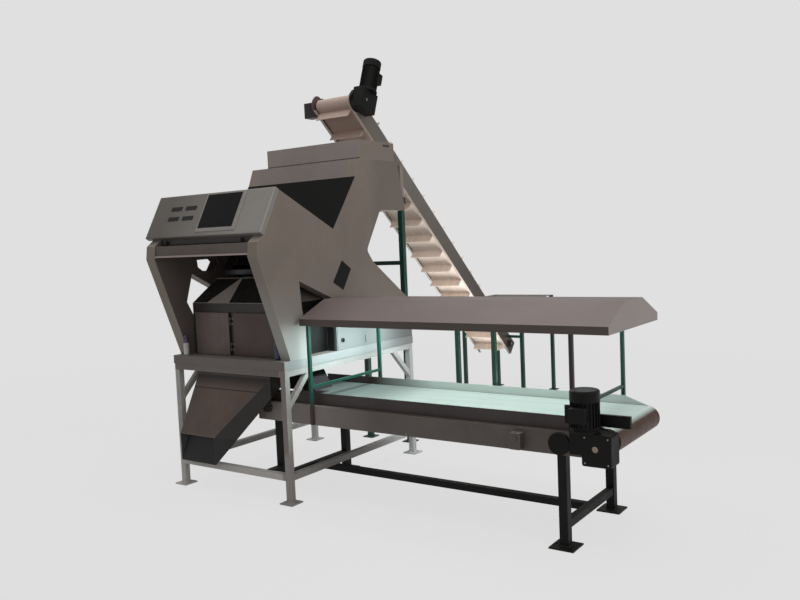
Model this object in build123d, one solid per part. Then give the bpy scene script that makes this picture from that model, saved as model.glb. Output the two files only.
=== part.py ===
from build123d import *
import os
from math import cos, hypot, radians, sin, tan

# Optical color sorter on a tube stand, with a cleated feed elevator behind it and an inspection
# conveyor under a light canopy on its right. Millimetres, +Z up, +X along the inspection conveyor,
# +Y to the back. The origin is the floor point in the middle of the stand's feet.

# Stock, fits and fasteners
SHEET = 3.0
TUBE = 50.0
TUBE_WALL = 3.0
FOOT_THICKNESS = 10.0
ANCHOR_RADIUS = 7.0
FACE_GAP = 0.5
RUN_CLEARANCE = 0.05
BELT_GAP = 0.3
PIN_RADIUS = 3.0
KNUCKLE_RADIUS = 6.0
KNUCKLE_LENGTH = 30.0
HINGE_HEIGHT = 7.0

# Stand
STAND_PITCH_Y = 1700.0
STAND_HEIGHT = 1045.0
LOWER_RAIL_HEIGHT = 205.0
BRACE_DROP = 260.0
BRACE_WIDTH = 40.0
STAND_FOOT = 130.0
STAND_ANCHOR_OFFSET = 45.0

# Sorter body: widths, then setbacks behind the front legs and heights above the base
SORTER_WIDTH = 1268.0
HOUSING_DEPTH = 100.0
BASE_HEIGHT = 70.0
BASE_OVERHANG = 5.0
BASE_FLANGE = 58.0
TOE_FRONT = 50.0
TOE_BACK = 300.0
KNEE = (210.0, 385.0)
ARCH = (190.0, 611.0)
LEFT_KNEE = (60.0, 449.0)
LEFT_ARCH = (132.0, 683.0)
ARCH_BACK_HEIGHT = 430.0
HEEL_FRONT = 620.0
HEEL_BACK = 1730.0
HEEL_HEIGHT = 331.0
BELLY = (-253.0, 823.0)
CHIN = (-240.0, 928.0)
NOTCH = (640.0, 1011.0)
ARM_TOP_HEIGHT = 1613.0
STEP_HEIGHT = 156.0
ARM_FRONT = (968.0, ARM_TOP_HEIGHT - STEP_HEIGHT)
STEP_SETBACK = 1032.0
ARM_TOP_BACK = 1594.0
ARM_LOW_BACK = 1702.0
ARM_DEPTH = 440.0
ARM_LOW_HEIGHT = ARM_TOP_HEIGHT - ARM_DEPTH
ARM_LOW_FRONT = 1308.0
WAIST = (1090.0, 823.0)
WAIST_LOW = (1170.0, 721.0)
CORNER_RADIUS = 45.0
WINDOW = ((734.0, 752.0), (854.0, 673.0), (738.0, 499.0), (606.0, 572.0))
PORT = ((195.0, 800.0), (402.0, 806.0), (435.0, 776.0), (383.0, 700.0), (256.0, 702.0), (203.0, 738.0))

# Control panel: a lid that leans back from its foot
PANEL_FOOT = (-215.0, 999.0)
PANEL_LENGTH = 391.0
PANEL_LEAN = 28.8
PANEL_THICKNESS = 45.0
PANEL_ROUND = 10.0
PANEL_OVERHANG = (47.0, 5.0)
PANEL_HINGE_X = 430.0
SCREEN_CENTRE = (135.0, 205.0)
SCREEN_BEZEL = (442.0, 346.0)
SCREEN_GLASS = (388.0, 304.0)
SCREEN_GLASS_SHIFT = (-12.0, 10.0)
SCREEN_DEPTH = 32.0
BEZEL_THICKNESS = 5.0
KEY_X = (-407.0, -234.0)
KEY_UP = (260.0, 167.0)
KEY_SIZE = (125.0, 36.0)
KEY_PROUD = 5.0
KEY_TRAVEL = 4.0
LATCH_X = (-460.0, 405.0)
LATCH_HEIGHT = 952.0
LATCH_RADIUS = 16.0
CABINET_SETBACK = 8.0

# Optical boxes, feeding and ejection
FRONT_BOX_TOP = 928.0
FRONT_BOX_INSET = (18.0, 12.0)
FRONT_BOX_BACK = (330.0, 400.0)
FRONT_BOX_NOSE = 45.0
REAR_BOX_BACK = 1065.0
REAR_BOX_SIDE = (645.0, 845.0)
REAR_BOX_FRONT = ((640.0, 645.0), (600.0, 715.0), (690.0, 875.0), (790.0, 1015.0), (1050.0, 1015.0))
LAMP_RADIUS = 13.0
LAMP_SPOTS = ((325.0, 890.0), (260.0, 865.0), (740.0, 900.0), (680.0, 690.0))
BATTEN_SIZE = (50.0, 28.0)
BATTEN_OFFSET = 85.0
BATTEN_END = 100.0
CAMERA_X = (-270.0, 270.0)
CAMERA_HEIGHTS = (880.0, 745.0)
CAMERA_HALF = (45.0, 35.0)
CAMERA_LENGTH = 150.0
LENS_RADIUS = 26.0
LENS_LENGTH = 55.0
MANIFOLD_SETBACK = (515.0, 565.0)
MANIFOLD_HEIGHT = (655.0, 697.0)
VALVE_LENGTH = 28.0
CHUTE_DROP = 163.0
CHUTE_TOP = (1020.0, ARM_TOP_HEIGHT - CHUTE_DROP)
CHUTE_END = (520.0, 745.0)
CHUTE_RIBS = 7
HOPPER_X = (-446.0, 634.0)
HOPPER_SETBACK = (1044.0, 1554.0)
HOPPER_HEIGHT = 161.0
OUTLET_X = (-366.0, 454.0)
OUTLET_SETBACK = (1085.0, 1175.0)
GATE_THICKNESS = 6.0
GATE_STROKE = 100.0
GATE_KNOB_GAP = 30.0
TRAY_HALF = 480.0
TRAY_SETBACK = (1015.0, 1490.0)
TRAY_DROP = 136.0
TRAY_BOTTOM = ARM_TOP_HEIGHT - TRAY_DROP
TRAY_HEIGHT = 63.0
VIBRATOR_X = 230.0
VIBRATOR_DROP = 140.0
BEAM_THICKNESS = 12.0
BEAM_HALF = 80.0
BUFFER_HEIGHT = 35.0
BUFFER_RADIUS = 20.0

# Collection box, doors and chutes
HOOD_FRONT = 120.0
HOOD_BACK = 700.0
HOOD_BREAK = 435.0
HOOD_TOP = 640.0
HOOD_TOP_HALF = 355.0
HOOD_TOP_SETBACK = (250.0, 550.0)
PANE_THICKNESS = 4.0
HOOD_PANES = (
    ((-520.0, 6.0), (-355.0, 6.0), (-70.0, 232.0), (-353.0, 232.0)),
    ((-85.0, 6.0), (515.0, 6.0), (350.0, 232.0), (-40.0, 232.0)),
)
DIVIDER_X = (-81.0, -31.0)
LEFT_DOOR_WIDTH = 405.0
RIGHT_DOOR_WIDTH = 475.0
DOOR_HEIGHT = 352.0
DOOR_THICKNESS = 18.0
DOOR_SILL = 5.0
SIDE_DOOR_SETBACK = (630.0, 1000.0)
SIDE_DOOR_HEIGHT = (12.0, 240.0)
REJECT_X = (-430.0, 400.0)
REJECT_SETBACK = (50.0, 300.0)
REJECT_THROAT_Z = (800.0, 955.0)
REJECT_HEEL_Z = 950.0
REJECT_DUCT_SHEET = 1.5
REJECT_OUTLET_X = (-526.0, -111.0)
REJECT_OUTLET_Z = (240.0, 470.0)
REJECT_OUTLET_REACH = 100.0
ACCEPT_START = 239.0
ACCEPT_SETBACK = (330.0, 550.0)
ACCEPT_SPOUT_X = 620.0
ACCEPT_BEND_DROP = 62.0
ACCEPT_BELT_GAP = 40.0
FILTER_SPOTS = ((-503.0, -2.0), (503.0, 40.0))
FILTER_RADIUS = 23.0
FILTER_NECK_RADIUS = 18.0
FILTER_HEAD = 44.0
FILTER_KNOB_RADIUS = 16.0
FILTER_HEIGHTS = (105.0, 125.0, 150.0, 175.0)

# Feed elevator
ELEVATOR_X = 99.0
ELEVATOR_ANGLE = 42.2
HEAD_AXIS = (587.0, 3295.0)
ELEVATOR_LENGTH = 3860.0
ELEVATOR_DEPTH = 165.0
ELEVATOR_OVERHANG = 105.0
ELEVATOR_HALF = 222.0
ELEVATOR_WEB = 4.0
ELEVATOR_FLANGE = 25.0
ELEVATOR_HEAD_ROUND = 70.0
ELEVATOR_BELT = 400.0
ELEVATOR_DRUM = 60.0
ELEVATOR_SHAFT = 15.0
CLEAT_PITCH = 250.0
CLEAT_START = 25.0
CLEAT_HEIGHT = 95.0
CLEAT_THICKNESS = 6.0
CLEAT_GAP = 5.0
CLEAT_WIDTH = 2 * (ELEVATOR_HALF - ELEVATOR_WEB - ELEVATOR_FLANGE - CLEAT_GAP)
TAIL_AXIS = (
    HEAD_AXIS[0] + ELEVATOR_LENGTH * cos(radians(ELEVATOR_ANGLE)),
    HEAD_AXIS[1] - ELEVATOR_LENGTH * sin(radians(ELEVATOR_ANGLE)),
)
TAIL_LEG_REACH = 442.5
ELEVATOR_LEG_Y = (1200.0, TAIL_AXIS[0] - TAIL_LEG_REACH)
ELEVATOR_FOOT = 120.0
ELEVATOR_ANCHOR_OFFSET = 42.0
CROSSBAR_Z = 1790.0
ELEVATOR_BAR = 40.0
INFEED_HALF = 400.0
INFEED_POST = 40.0
INFEED_POST_REACH = (-16.5, 853.5)
INFEED_POST_Y = (TAIL_AXIS[0] + INFEED_POST_REACH[0], TAIL_AXIS[0] + INFEED_POST_REACH[1])
INFEED_RISE = 530.0
INFEED_TOP = TAIL_AXIS[1] + INFEED_RISE
INFEED_OUTLET_RISE = 285.0
INFEED_OUTLET_Z = TAIL_AXIS[1] + INFEED_OUTLET_RISE
INFEED_OUTLET_REACH = (-54.5, 63.5)
INFEED_OUTLET_Y = (TAIL_AXIS[0] + INFEED_OUTLET_REACH[0], TAIL_AXIS[0] + INFEED_OUTLET_REACH[1])
INFEED_STUB = 30.0
INFEED_STUB_RISE = 75.0
TAKE_UP_DEPTH = 135.0
HEAD_MOTOR_TILT = 20.0
HEAD_MOTOR_RADIUS = 84.0
HEAD_MOTOR_LENGTH = 300.0

# Inspection conveyor
CONVEYOR_Y = -270.0
FRAME_X = (169.0, 3144.0)
FRAME_CUT = (90.0, 85.0)
FRAME_Z = (605.0, 755.0)
FRAME_HALF = 440.0
FRAME_FLANGE = 50.0
GUARD_TOP = 850.0
GUARD_SLOPE_X = (2944.0, 3130.0)
GUARD_END_Z = 782.0
GUARD_START = 219.0
BELT_EDGE_GAP = 10.0
BELT_HALF = FRAME_HALF - FRAME_FLANGE - BELT_EDGE_GAP
BELT_THICKNESS = 5.0
DRUM_RADIUS = 75.0
DRUM_SHAFT = 20.0
DRUM_Z = 710.0
DRIVE_X = 3114.0
TAIL_X = 284.0
ROLLER_X = 1629.0
ROLLER_RADIUS = 12.0
CONVEYOR_LEG = 60.0
CONVEYOR_TAIL_LEG = 60.0
CONVEYOR_LEG_X = (374.0, 2824.0)
CONVEYOR_LEG_HALF = FRAME_HALF - CONVEYOR_LEG / 2
CONVEYOR_FOOT = 170.0
CONVEYOR_ANCHOR_OFFSET = 60.0
STRETCHER_Z = 145.0
GEARBOX_X = (3031.0, 3217.0)
GEARBOX_Z = (604.0, 800.0)
GEARBOX_DEPTH = 130.0
DRIVE_MOTOR_X = 3039.0
DRIVE_MOTOR_RADIUS = 92.0
DRIVE_MOTOR_LENGTH = 258.0
BRACKET_X = (2864.0, 3284.0)
BRACKET_Z = (820.0, 895.0)
BRACKET_SEAT = (72.0, 935.0)
BRACKET_PLATE = (26.0, 165.0)
COVER_X = 2815.0
COVER_RADIUS = 72.0
SWITCH_X = (2487.0, 2563.0)
SWITCH_Z = (620.0, 730.0)

# Canopy over the conveyor
CANOPY_X = (684.0, 3164.0)
CANOPY_TOP_HALF = 160.0
CANOPY_LIP_Z = (1382.0, 1435.0)
CANOPY_TOP_Z = 1565.0
POST_SIZE = 25.0
POST_X = (759.0, 2914.0)
POST_BAR_Z = 905.0

half_width = SORTER_WIDTH / 2
inner_x = half_width - HOUSING_DEPTH - SHEET
leg_x = half_width - TUBE / 2
leg_y = STAND_PITCH_Y / 2
front_y = -leg_y
base_top = STAND_HEIGHT + BASE_HEIGHT
base_y = leg_y + TUBE / 2 + BASE_OVERHANG
arm_top = base_top + ARM_TOP_HEIGHT


def at(setback, height):
    """Side-view point (Y, Z) from a setback behind the front legs and a height above the base."""
    return (front_y + setback, base_top + height)


lean = radians(PANEL_LEAN)
panel_foot = at(*PANEL_FOOT)


def on_panel(up, out):
    """Side-view point at a distance up the panel's face and out from it."""
    y = panel_foot[0] + up * sin(lean) - out * cos(lean)
    z = panel_foot[1] + up * cos(lean) + out * sin(lean)
    return (y, z)


panel_plane = Plane(
    origin=(0, panel_foot[0], panel_foot[1]), x_dir=(1, 0, 0), z_dir=(0, -cos(lean), sin(lean))
)
slope = radians(ELEVATOR_ANGLE)
slope_plane = Plane(
    origin=(0, HEAD_AXIS[0], HEAD_AXIS[1]), x_dir=(0, cos(slope), -sin(slope)), z_dir=(1, 0, 0)
)


def on_slope(along, normal):
    """Side-view point at a distance down the elevator and a distance square to it."""
    y = HEAD_AXIS[0] + along * cos(slope) + normal * sin(slope)
    z = HEAD_AXIS[1] - along * sin(slope) + normal * cos(slope)
    return (y, z)


def block(x, y, z):
    """Box between two values on each axis."""
    middle = Pos((x[0] + x[1]) / 2, (y[0] + y[1]) / 2, (z[0] + z[1]) / 2)
    return middle * Box(abs(x[1] - x[0]), abs(y[1] - y[0]), abs(z[1] - z[0]))


def around(centre, half):
    """Pair of values at equal distance from a centre."""
    return (centre - half, centre + half)


def inset(pair, amount):
    """Pair of values moved towards each other."""
    return (pair[0] + amount, pair[1] - amount)


def tube(start, end, size, wall=TUBE_WALL):
    """Square tube along one axis between two points on its centre line."""
    spans = []
    bores = []
    for a, b in zip(start, end):
        if a == b:
            spans.append(around(a, size / 2))
            bores.append(around(a, size / 2 - wall))
        else:
            low, high = sorted((a, b))
            spans.append((low, high))
            bores.append((low - 1, high + 1))
    return block(*spans) - block(*bores)


def rod(axis, radius, span, centre):
    """Cylinder along an axis between two values, with its centre given on the other two axes."""
    middle = (span[0] + span[1]) / 2
    length = abs(span[1] - span[0])
    if axis == "X":
        return Pos(middle, centre[0], centre[1]) * Rot(0, 90, 0) * Cylinder(radius, length)
    if axis == "Y":
        return Pos(centre[0], middle, centre[1]) * Rot(90, 0, 0) * Cylinder(radius, length)
    return Pos(centre[0], centre[1], middle) * Cylinder(radius, length)


def outline(points):
    """Flat face bounded by a closed polygon."""
    return make_face(Polyline(*points, close=True))


def side_prism(points, x):
    """Side-view polygon drawn out across the machine."""
    return extrude(Plane.YZ.offset(x[0]) * outline(points), amount=x[1] - x[0], dir=(1, 0, 0))


def front_prism(points, y):
    """Front-view polygon (X, Z) drawn out from front to back."""
    return extrude(Plane.XZ.offset(-y[0]) * outline(points), amount=y[1] - y[0], dir=(0, 1, 0))


def parallel(points, distance):
    """Open polyline moved to the left of its direction, with mitred corners."""
    moved = []
    for i, point in enumerate(points):
        before = points[max(i - 1, 0)]
        after = points[min(i + 1, len(points) - 1)]
        ways = []
        for a, b in ((before, point), (point, after)):
            length = hypot(b[0] - a[0], b[1] - a[1])
            if length > 0:
                ways.append((-(b[1] - a[1]) / length, (b[0] - a[0]) / length))
        first, last = ways[0], ways[-1]
        share = distance / (1 + first[0] * last[0] + first[1] * last[1])
        moved.append((point[0] + (first[0] + last[0]) * share, point[1] + (first[1] + last[1]) * share))
    return moved


def bent_sheet(points, thickness):
    """Outline of a folded sheet, thickened to the left of its direction."""
    return list(points) + parallel(points, thickness)[::-1]


def frustum(low, high):
    """Straight-sided solid between two level rectangles, each (x, y, z)."""
    faces = []
    for x, y, z in (low, high):
        faces.append(outline([(x[0], y[0], z), (x[1], y[0], z), (x[1], y[1], z), (x[0], y[1], z)]))
    return loft(faces, ruled=True)


def foot_plate(x, y, size, offsets):
    """Floor plate with anchor holes at the offsets from its middle."""
    plate = block(around(x, size / 2), around(y, size / 2), (0, FOOT_THICKNESS))
    for dx, dy in offsets:
        plate -= rod("Z", ANCHOR_RADIUS, (-1, FOOT_THICKNESS + 1), (x + dx, y + dy))
    return plate


def hinge(move_depth):
    """Pin hinge about local Z: its moving leaf runs to -Y, its fixed leaf sits at X = -HINGE_HEIGHT."""
    half = KNUCKLE_LENGTH / 2
    moving = Cylinder(KNUCKLE_RADIUS, KNUCKLE_LENGTH)
    moving += block((-move_depth, 0), (-HINGE_HEIGHT - 2, 0), (-half, half))
    moving -= Cylinder(PIN_RADIUS + RUN_CLEARANCE, KNUCKLE_LENGTH + 2)
    fixed = Cylinder(PIN_RADIUS, 2 * KNUCKLE_LENGTH)
    for side in (-1, 1):
        low = side * (half + FACE_GAP)
        high = side * KNUCKLE_LENGTH
        fixed += rod("Z", KNUCKLE_RADIUS, sorted((low, high)), (0, 0))
        fixed += block((-HINGE_HEIGHT, 0), (0, 18), sorted((low, high)))
    return moving, fixed


def group(pieces):
    """Several separate solids of one node."""
    return Compound(children=list(pieces))


nodes = {}

# Stand: four legs on foot plates, a ring of top rails, three lower rails and four corner braces
rail_z = STAND_HEIGHT - TUBE / 2
leg_top = STAND_HEIGHT - TUBE
anchor_ways = ((-STAND_ANCHOR_OFFSET, 0), (STAND_ANCHOR_OFFSET, 0))
legs = []
for x in (-leg_x, leg_x):
    for y in (-leg_y, leg_y):
        leg = tube((x, y, FOOT_THICKNESS), (x, y, leg_top), TUBE)
        legs.append(leg + foot_plate(x, y, STAND_FOOT, anchor_ways))
nodes["stand_legs"] = group(legs)

leg_inner_x = leg_x - TUBE / 2
leg_inner_y = leg_y - TUBE / 2
rails = []
for y in (-leg_y, leg_y):
    rails.append(tube((-half_width, y, rail_z), (half_width, y, rail_z), TUBE))
for x in (-leg_x, leg_x):
    rails.append(tube((x, -leg_inner_y, rail_z), (x, leg_inner_y, rail_z), TUBE))
    rails.append(tube((x, -leg_inner_y, LOWER_RAIL_HEIGHT), (x, leg_inner_y, LOWER_RAIL_HEIGHT), TUBE))
    for side in (-1, 1):
        face = side * leg_inner_y
        cut = BRACE_WIDTH * 2 ** 0.5
        brace = [
            (face, leg_top - BRACE_DROP),
            (face, leg_top - BRACE_DROP + cut),
            (face - side * (BRACE_DROP - cut), leg_top),
            (face - side * BRACE_DROP, leg_top),
        ]
        rails.append(side_prism(brace, around(x, BRACE_WIDTH / 2)))
rails.append(tube((-leg_inner_x, front_y, LOWER_RAIL_HEIGHT), (leg_inner_x, front_y, LOWER_RAIL_HEIGHT), TUBE))
nodes["stand_rails"] = group(rails)

# Base tray: a pan whose inturned flange rests on the top rails, with the chute openings in its top
reject_y = (front_y + REJECT_SETBACK[0], front_y + REJECT_SETBACK[1])
accept_y = (front_y + ACCEPT_SETBACK[0], front_y + ACCEPT_SETBACK[1])
hood_y = (front_y + HOOD_FRONT, front_y + HOOD_BACK)
deck = base_top - SHEET
base_x = half_width + BASE_OVERHANG
tray = block((-base_x, base_x), (-base_y, base_y), (STAND_HEIGHT, base_top))
tray -= block(
    (-base_x + SHEET, base_x - SHEET), (-base_y + SHEET, base_y - SHEET), (STAND_HEIGHT + SHEET, deck)
)
tray -= block(
    inset((-base_x, base_x), BASE_FLANGE), inset((-base_y, base_y), BASE_FLANGE),
    (STAND_HEIGHT - 1, STAND_HEIGHT + SHEET + 1),
)
reject_deck_y = (hood_y[0] + SHEET, reject_y[1] - SHEET)
tray -= block(inset(REJECT_X, SHEET), reject_deck_y, (deck - 1, base_top + 1))
tray -= block((ACCEPT_START + SHEET, inner_x - SHEET), inset(accept_y, SHEET), (deck - 1, base_top + 1))
nodes["base_tray"] = tray

# Side housings: X-shaped sheet pans, open to the inside and closed there by liners
seat_foot = on_panel(0, -PANEL_THICKNESS)
seat_top = on_panel(PANEL_LENGTH, -PANEL_THICKNESS)


def housing_profile(knee, arch):
    """Side view of a housing, with the foot of its arch given."""
    points = [
        at(TOE_FRONT, 0),
        at(*BELLY),
        at(*CHIN),
        seat_foot,
        seat_top,
        at(*NOTCH),
        at(*ARM_FRONT),
        at(STEP_SETBACK, ARM_TOP_HEIGHT),
        at(ARM_TOP_BACK, ARM_TOP_HEIGHT),
        at(ARM_LOW_BACK, ARM_LOW_HEIGHT),
        at(ARM_LOW_FRONT, ARM_LOW_HEIGHT),
        at(*WAIST),
        at(*WAIST_LOW),
        at(HEEL_BACK, HEEL_HEIGHT),
        at(HEEL_BACK, 0),
        at(HEEL_FRONT, 0),
        at(HEEL_FRONT, ARCH_BACK_HEIGHT),
        at(*arch),
        at(*knee),
        at(TOE_BACK, 0),
    ]
    shape = outline(points)
    rounded = []
    for target in (at(ARM_LOW_FRONT, ARM_LOW_HEIGHT), at(*WAIST), at(*WAIST_LOW)):
        rounded.append(shape.vertices().sort_by_distance((target[0], target[1], 0))[0])
    return fillet(rounded, CORNER_RADIUS)


profiles = {-1: housing_profile(LEFT_KNEE, LEFT_ARCH), 1: housing_profile(KNEE, ARCH)}
window_points = [at(*corner) for corner in WINDOW]


def housing(side):
    """One side housing, on the left (-1) or the right (1)."""
    away = (-side, 0, 0)
    pan = extrude(Plane.YZ.offset(side * half_width) * profiles[side], amount=HOUSING_DEPTH, dir=away)
    skin = Plane.YZ.offset(side * (half_width - SHEET))
    pan -= extrude(skin * offset(profiles[side], amount=-SHEET), amount=HOUSING_DEPTH, dir=away)
    pan -= side_prism(window_points, sorted((side * (half_width - SHEET - 1), side * (half_width + 1))))
    return pan


side_door_y = (front_y + SIDE_DOOR_SETBACK[0], front_y + SIDE_DOOR_SETBACK[1])
side_door_z = (base_top + SIDE_DOOR_HEIGHT[0], base_top + SIDE_DOOR_HEIGHT[1])
side_hinge_x = half_width + HINGE_HEIGHT
side_hinge_y = side_door_y[1] + HINGE_HEIGHT + 1
right_housing = housing(1)
right_housing -= block(
    (half_width - SHEET - 1, half_width + 1), inset(side_door_y, 20), inset(side_door_z, 20)
)
side_door_x = (half_width + FACE_GAP, half_width + FACE_GAP + SHEET)
side_door = block(side_door_x, side_door_y, side_door_z)
door_moving, door_fixed = hinge(HINGE_HEIGHT - FACE_GAP)
for z in inset(side_door_z, 50):
    right_housing += Pos(side_hinge_x, side_hinge_y, z) * door_fixed
    side_door += Pos(side_hinge_x, side_hinge_y, z) * door_moving
lock_y = side_door_y[0] + 58
lock_z = base_top + 85
lock_stem = 7.0
side_door -= rod("X", lock_stem + RUN_CLEARANCE, (half_width - 1, half_width + 20), (lock_y, lock_z))
lock_face = side_door_x[1] + FACE_GAP
door_lock = rod("X", lock_stem, (side_door_x[0], lock_face + 6), (lock_y, lock_z))
door_lock += rod("X", 17.0, (lock_face, lock_face + 10), (lock_y, lock_z))
door_lock += block((lock_face + 9, lock_face + 22), around(lock_y, 5), around(lock_z, 15))
port_points = [at(*corner) for corner in PORT]
port_cut = side_prism(port_points, (-half_width - 1, -inner_x + 1))
nodes["left_side_housing"] = housing(-1) - port_cut
nodes["right_side_housing"] = right_housing
nodes["side_access_door"] = side_door
nodes["side_door_lock"] = door_lock

liners = []
for side in (-1, 1):
    liner_plane = Plane.YZ.offset(side * (half_width - HOUSING_DEPTH))
    liners.append(extrude(liner_plane * profiles[side], amount=SHEET, dir=(-side, 0, 0)))
liners[0] -= port_cut
nodes["housing_liners"] = group(liners)

panes = []
for side in (-1, 1):
    panes.append(side_prism(window_points, sorted((side * (half_width - SHEET), side * half_width))))

# Notch cover: a dark V-shaped sheet that starts behind the panel, carries its hinges and runs to the feeder
across = (-inner_x, inner_x)
notch_line = [seat_top, at(*NOTCH), at(*ARM_FRONT)]
notch_cover = side_prism(bent_sheet(notch_line, -SHEET), across)
panel_hinge = on_panel(PANEL_LENGTH + HINGE_HEIGHT, HINGE_HEIGHT + 1 - PANEL_THICKNESS)
hinge_frame = Plane(
    origin=(0, panel_hinge[0], panel_hinge[1]), x_dir=(0, sin(lean), cos(lean)), z_dir=(-1, 0, 0)
)
lid_moving, lid_fixed = hinge(HINGE_HEIGHT + 1)
for x in (-PANEL_HINGE_X, PANEL_HINGE_X):
    notch_cover += Pos(x, 0, 0) * (hinge_frame * lid_fixed)
nodes["notch_cover"] = notch_cover

# Control panel: a pan with rounded edges, cut for the screen and the keys
panel_x = (-half_width - PANEL_OVERHANG[0], half_width + PANEL_OVERHANG[1])
panel = block(panel_x, (0, PANEL_LENGTH), (-PANEL_THICKNESS, 0))
panel = fillet(panel.faces().sort_by(Axis.Z)[-1].edges(), PANEL_ROUND)
panel -= block(
    inset(panel_x, SHEET), (SHEET, PANEL_LENGTH - SHEET), (-PANEL_THICKNESS - 1, -SHEET)
)
screen_cut = inset(around(SCREEN_CENTRE[0], SCREEN_BEZEL[0] / 2), 12)
screen_cut_up = inset(around(SCREEN_CENTRE[1], SCREEN_BEZEL[1] / 2), 12)
panel -= block(screen_cut, screen_cut_up, (-PANEL_THICKNESS, 1))
keys = []
for up in KEY_UP:
    for x in KEY_X:
        body_x = around(x, KEY_SIZE[0] / 2)
        body_up = around(up, KEY_SIZE[1] / 2)
        panel -= block(inset(body_x, -FACE_GAP), inset(body_up, -FACE_GAP), (-PANEL_THICKNESS, 1))
        key = block(body_x, body_up, (-SHEET - 12, KEY_PROUD))
        key = fillet(key.faces().sort_by(Axis.Z)[-1].edges(), 3)
        collar = (-SHEET - FACE_GAP - 4, -SHEET - FACE_GAP)
        key += block(inset(body_x, -6), inset(body_up, -6), collar)
        keys.append(panel_plane * key)
panel = panel_plane * panel
for x in (-PANEL_HINGE_X, PANEL_HINGE_X):
    panel += Pos(x, 0, 0) * (hinge_frame * lid_moving)
nodes["control_panel"] = panel
for name, key in zip(("upper_left_key", "upper_right_key", "lower_left_key", "lower_right_key"), keys):
    nodes[name] = key

screen = block(
    around(SCREEN_CENTRE[0], SCREEN_BEZEL[0] / 2), around(SCREEN_CENTRE[1], SCREEN_BEZEL[1] / 2),
    (0, BEZEL_THICKNESS),
)
screen = fillet(screen.faces().sort_by(Axis.Z)[-1].edges(), 2)
screen += block(screen_cut, screen_cut_up, (-SCREEN_DEPTH, 1))
glass_x = around(SCREEN_CENTRE[0] + SCREEN_GLASS_SHIFT[0], SCREEN_GLASS[0] / 2)
glass_up = around(SCREEN_CENTRE[1] + SCREEN_GLASS_SHIFT[1], SCREEN_GLASS[1] / 2)
screen -= block(glass_x, glass_up, (BEZEL_THICKNESS - 2, BEZEL_THICKNESS + 1))
nodes["touch_screen"] = panel_plane * screen

# Control cabinet behind the panel and under the notch cover, with the panel's latches on its front wall
notch_point = at(*NOTCH)
cabinet_floor = base_top + FRONT_BOX_TOP + 8
cabinet_face = seat_foot[0] + CABINET_SETBACK
latch_z = base_top + LATCH_HEIGHT
latch_stem = 6.0


def hollow_prism(points):
    """Sheet box across the machine, closed at its ends by the liners."""
    shape = outline(points)
    body = extrude(Plane.YZ.offset(-inner_x) * shape, amount=2 * inner_x, dir=(1, 0, 0))
    hollow = offset(shape, amount=-SHEET)
    return body - extrude(Plane.YZ.offset(-inner_x - 1) * hollow, amount=2 * inner_x + 2, dir=(1, 0, 0))


cabinet_points = [
    (cabinet_face, cabinet_floor),
    (cabinet_face, seat_foot[1] + 6),
    (seat_top[0] + 2, seat_top[1] - 14),
    (notch_point[0] - 30, notch_point[1] + 4),
    (notch_point[0] - 80, cabinet_floor),
]
cabinet = hollow_prism(cabinet_points)
for name, x in zip(("left_panel_latch", "right_panel_latch"), LATCH_X):
    cabinet -= rod("Y", latch_stem + RUN_CLEARANCE, (cabinet_face - 1, cabinet_face + SHEET + 1), (x, latch_z))
    latch_back = cabinet_face - FACE_GAP
    latch = rod("Y", latch_stem, (latch_back - 4, cabinet_face + SHEET), (x, latch_z))
    latch += rod("Y", LATCH_RADIUS, (latch_back - 10, latch_back), (x, latch_z))
    latch += block(around(x, 5), (latch_back - 26, latch_back - 9), around(latch_z, LATCH_RADIUS - 2))
    nodes[name] = latch
nodes["control_cabinet"] = cabinet

# Optical boxes on both sides of the falling product, with lamps and cameras inside
front_box_points = [
    at(BELLY[0] + FRONT_BOX_INSET[0], BELLY[1] + FRONT_BOX_INSET[1]),
    at(BELLY[0] + FRONT_BOX_INSET[0], FRONT_BOX_TOP),
    at(FRONT_BOX_BACK[0], FRONT_BOX_TOP),
    at(FRONT_BOX_BACK[1], FRONT_BOX_TOP - FRONT_BOX_NOSE),
    at(FRONT_BOX_BACK[0], BELLY[1] + FRONT_BOX_INSET[1]),
]
rear_box_points = [at(*corner) for corner in REAR_BOX_FRONT]
rear_box_points += [at(REAR_BOX_BACK, height) for height in REAR_BOX_SIDE[::-1]]


front_box = hollow_prism(front_box_points)
box_face = front_y + BELLY[0] + FRONT_BOX_INSET[0]
lip_z = base_top + BELLY[1] + FRONT_BOX_INSET[1]
front_box += block(across, (box_face - 14, box_face + 1), (lip_z, lip_z + 12))
nodes["front_optical_box"] = front_box
nodes["rear_optical_box"] = hollow_prism(rear_box_points)

cameras = []
walls = (box_face + SHEET, front_y + REAR_BOX_BACK - SHEET)
for x in CAMERA_X:
    for wall, height, way in zip(walls, CAMERA_HEIGHTS, (1, -1)):
        z = base_top + height
        lens_start = wall + way * CAMERA_LENGTH
        camera = block(around(x, CAMERA_HALF[0]), sorted((wall, lens_start)), around(z, CAMERA_HALF[1]))
        lens = sorted((lens_start - way, lens_start + way * LENS_LENGTH))
        cameras.append(camera + rod("Y", LENS_RADIUS, lens, (x, z)))
nodes["inspection_cameras"] = group(cameras)

lamps = []
for spot in LAMP_SPOTS:
    lamps.append(rod("X", LAMP_RADIUS, across, at(*spot)))
batten_top = CANOPY_TOP_Z - SHEET
batten_z = (batten_top - BATTEN_SIZE[1], batten_top)
batten_length = (CANOPY_X[1] - CANOPY_X[0] - 3 * BATTEN_END) / 2
for y in around(CONVEYOR_Y, BATTEN_OFFSET):
    for start in (CANOPY_X[0] + BATTEN_END, CANOPY_X[0] + 2 * BATTEN_END + batten_length):
        span = (start, start + batten_length)
        batten = block(span, around(y, BATTEN_SIZE[0] / 2), batten_z)
        lamps.append(batten + rod("X", LAMP_RADIUS, span, (y, batten_z[0])))
nodes["lamp_tubes"] = group(lamps)

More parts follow.
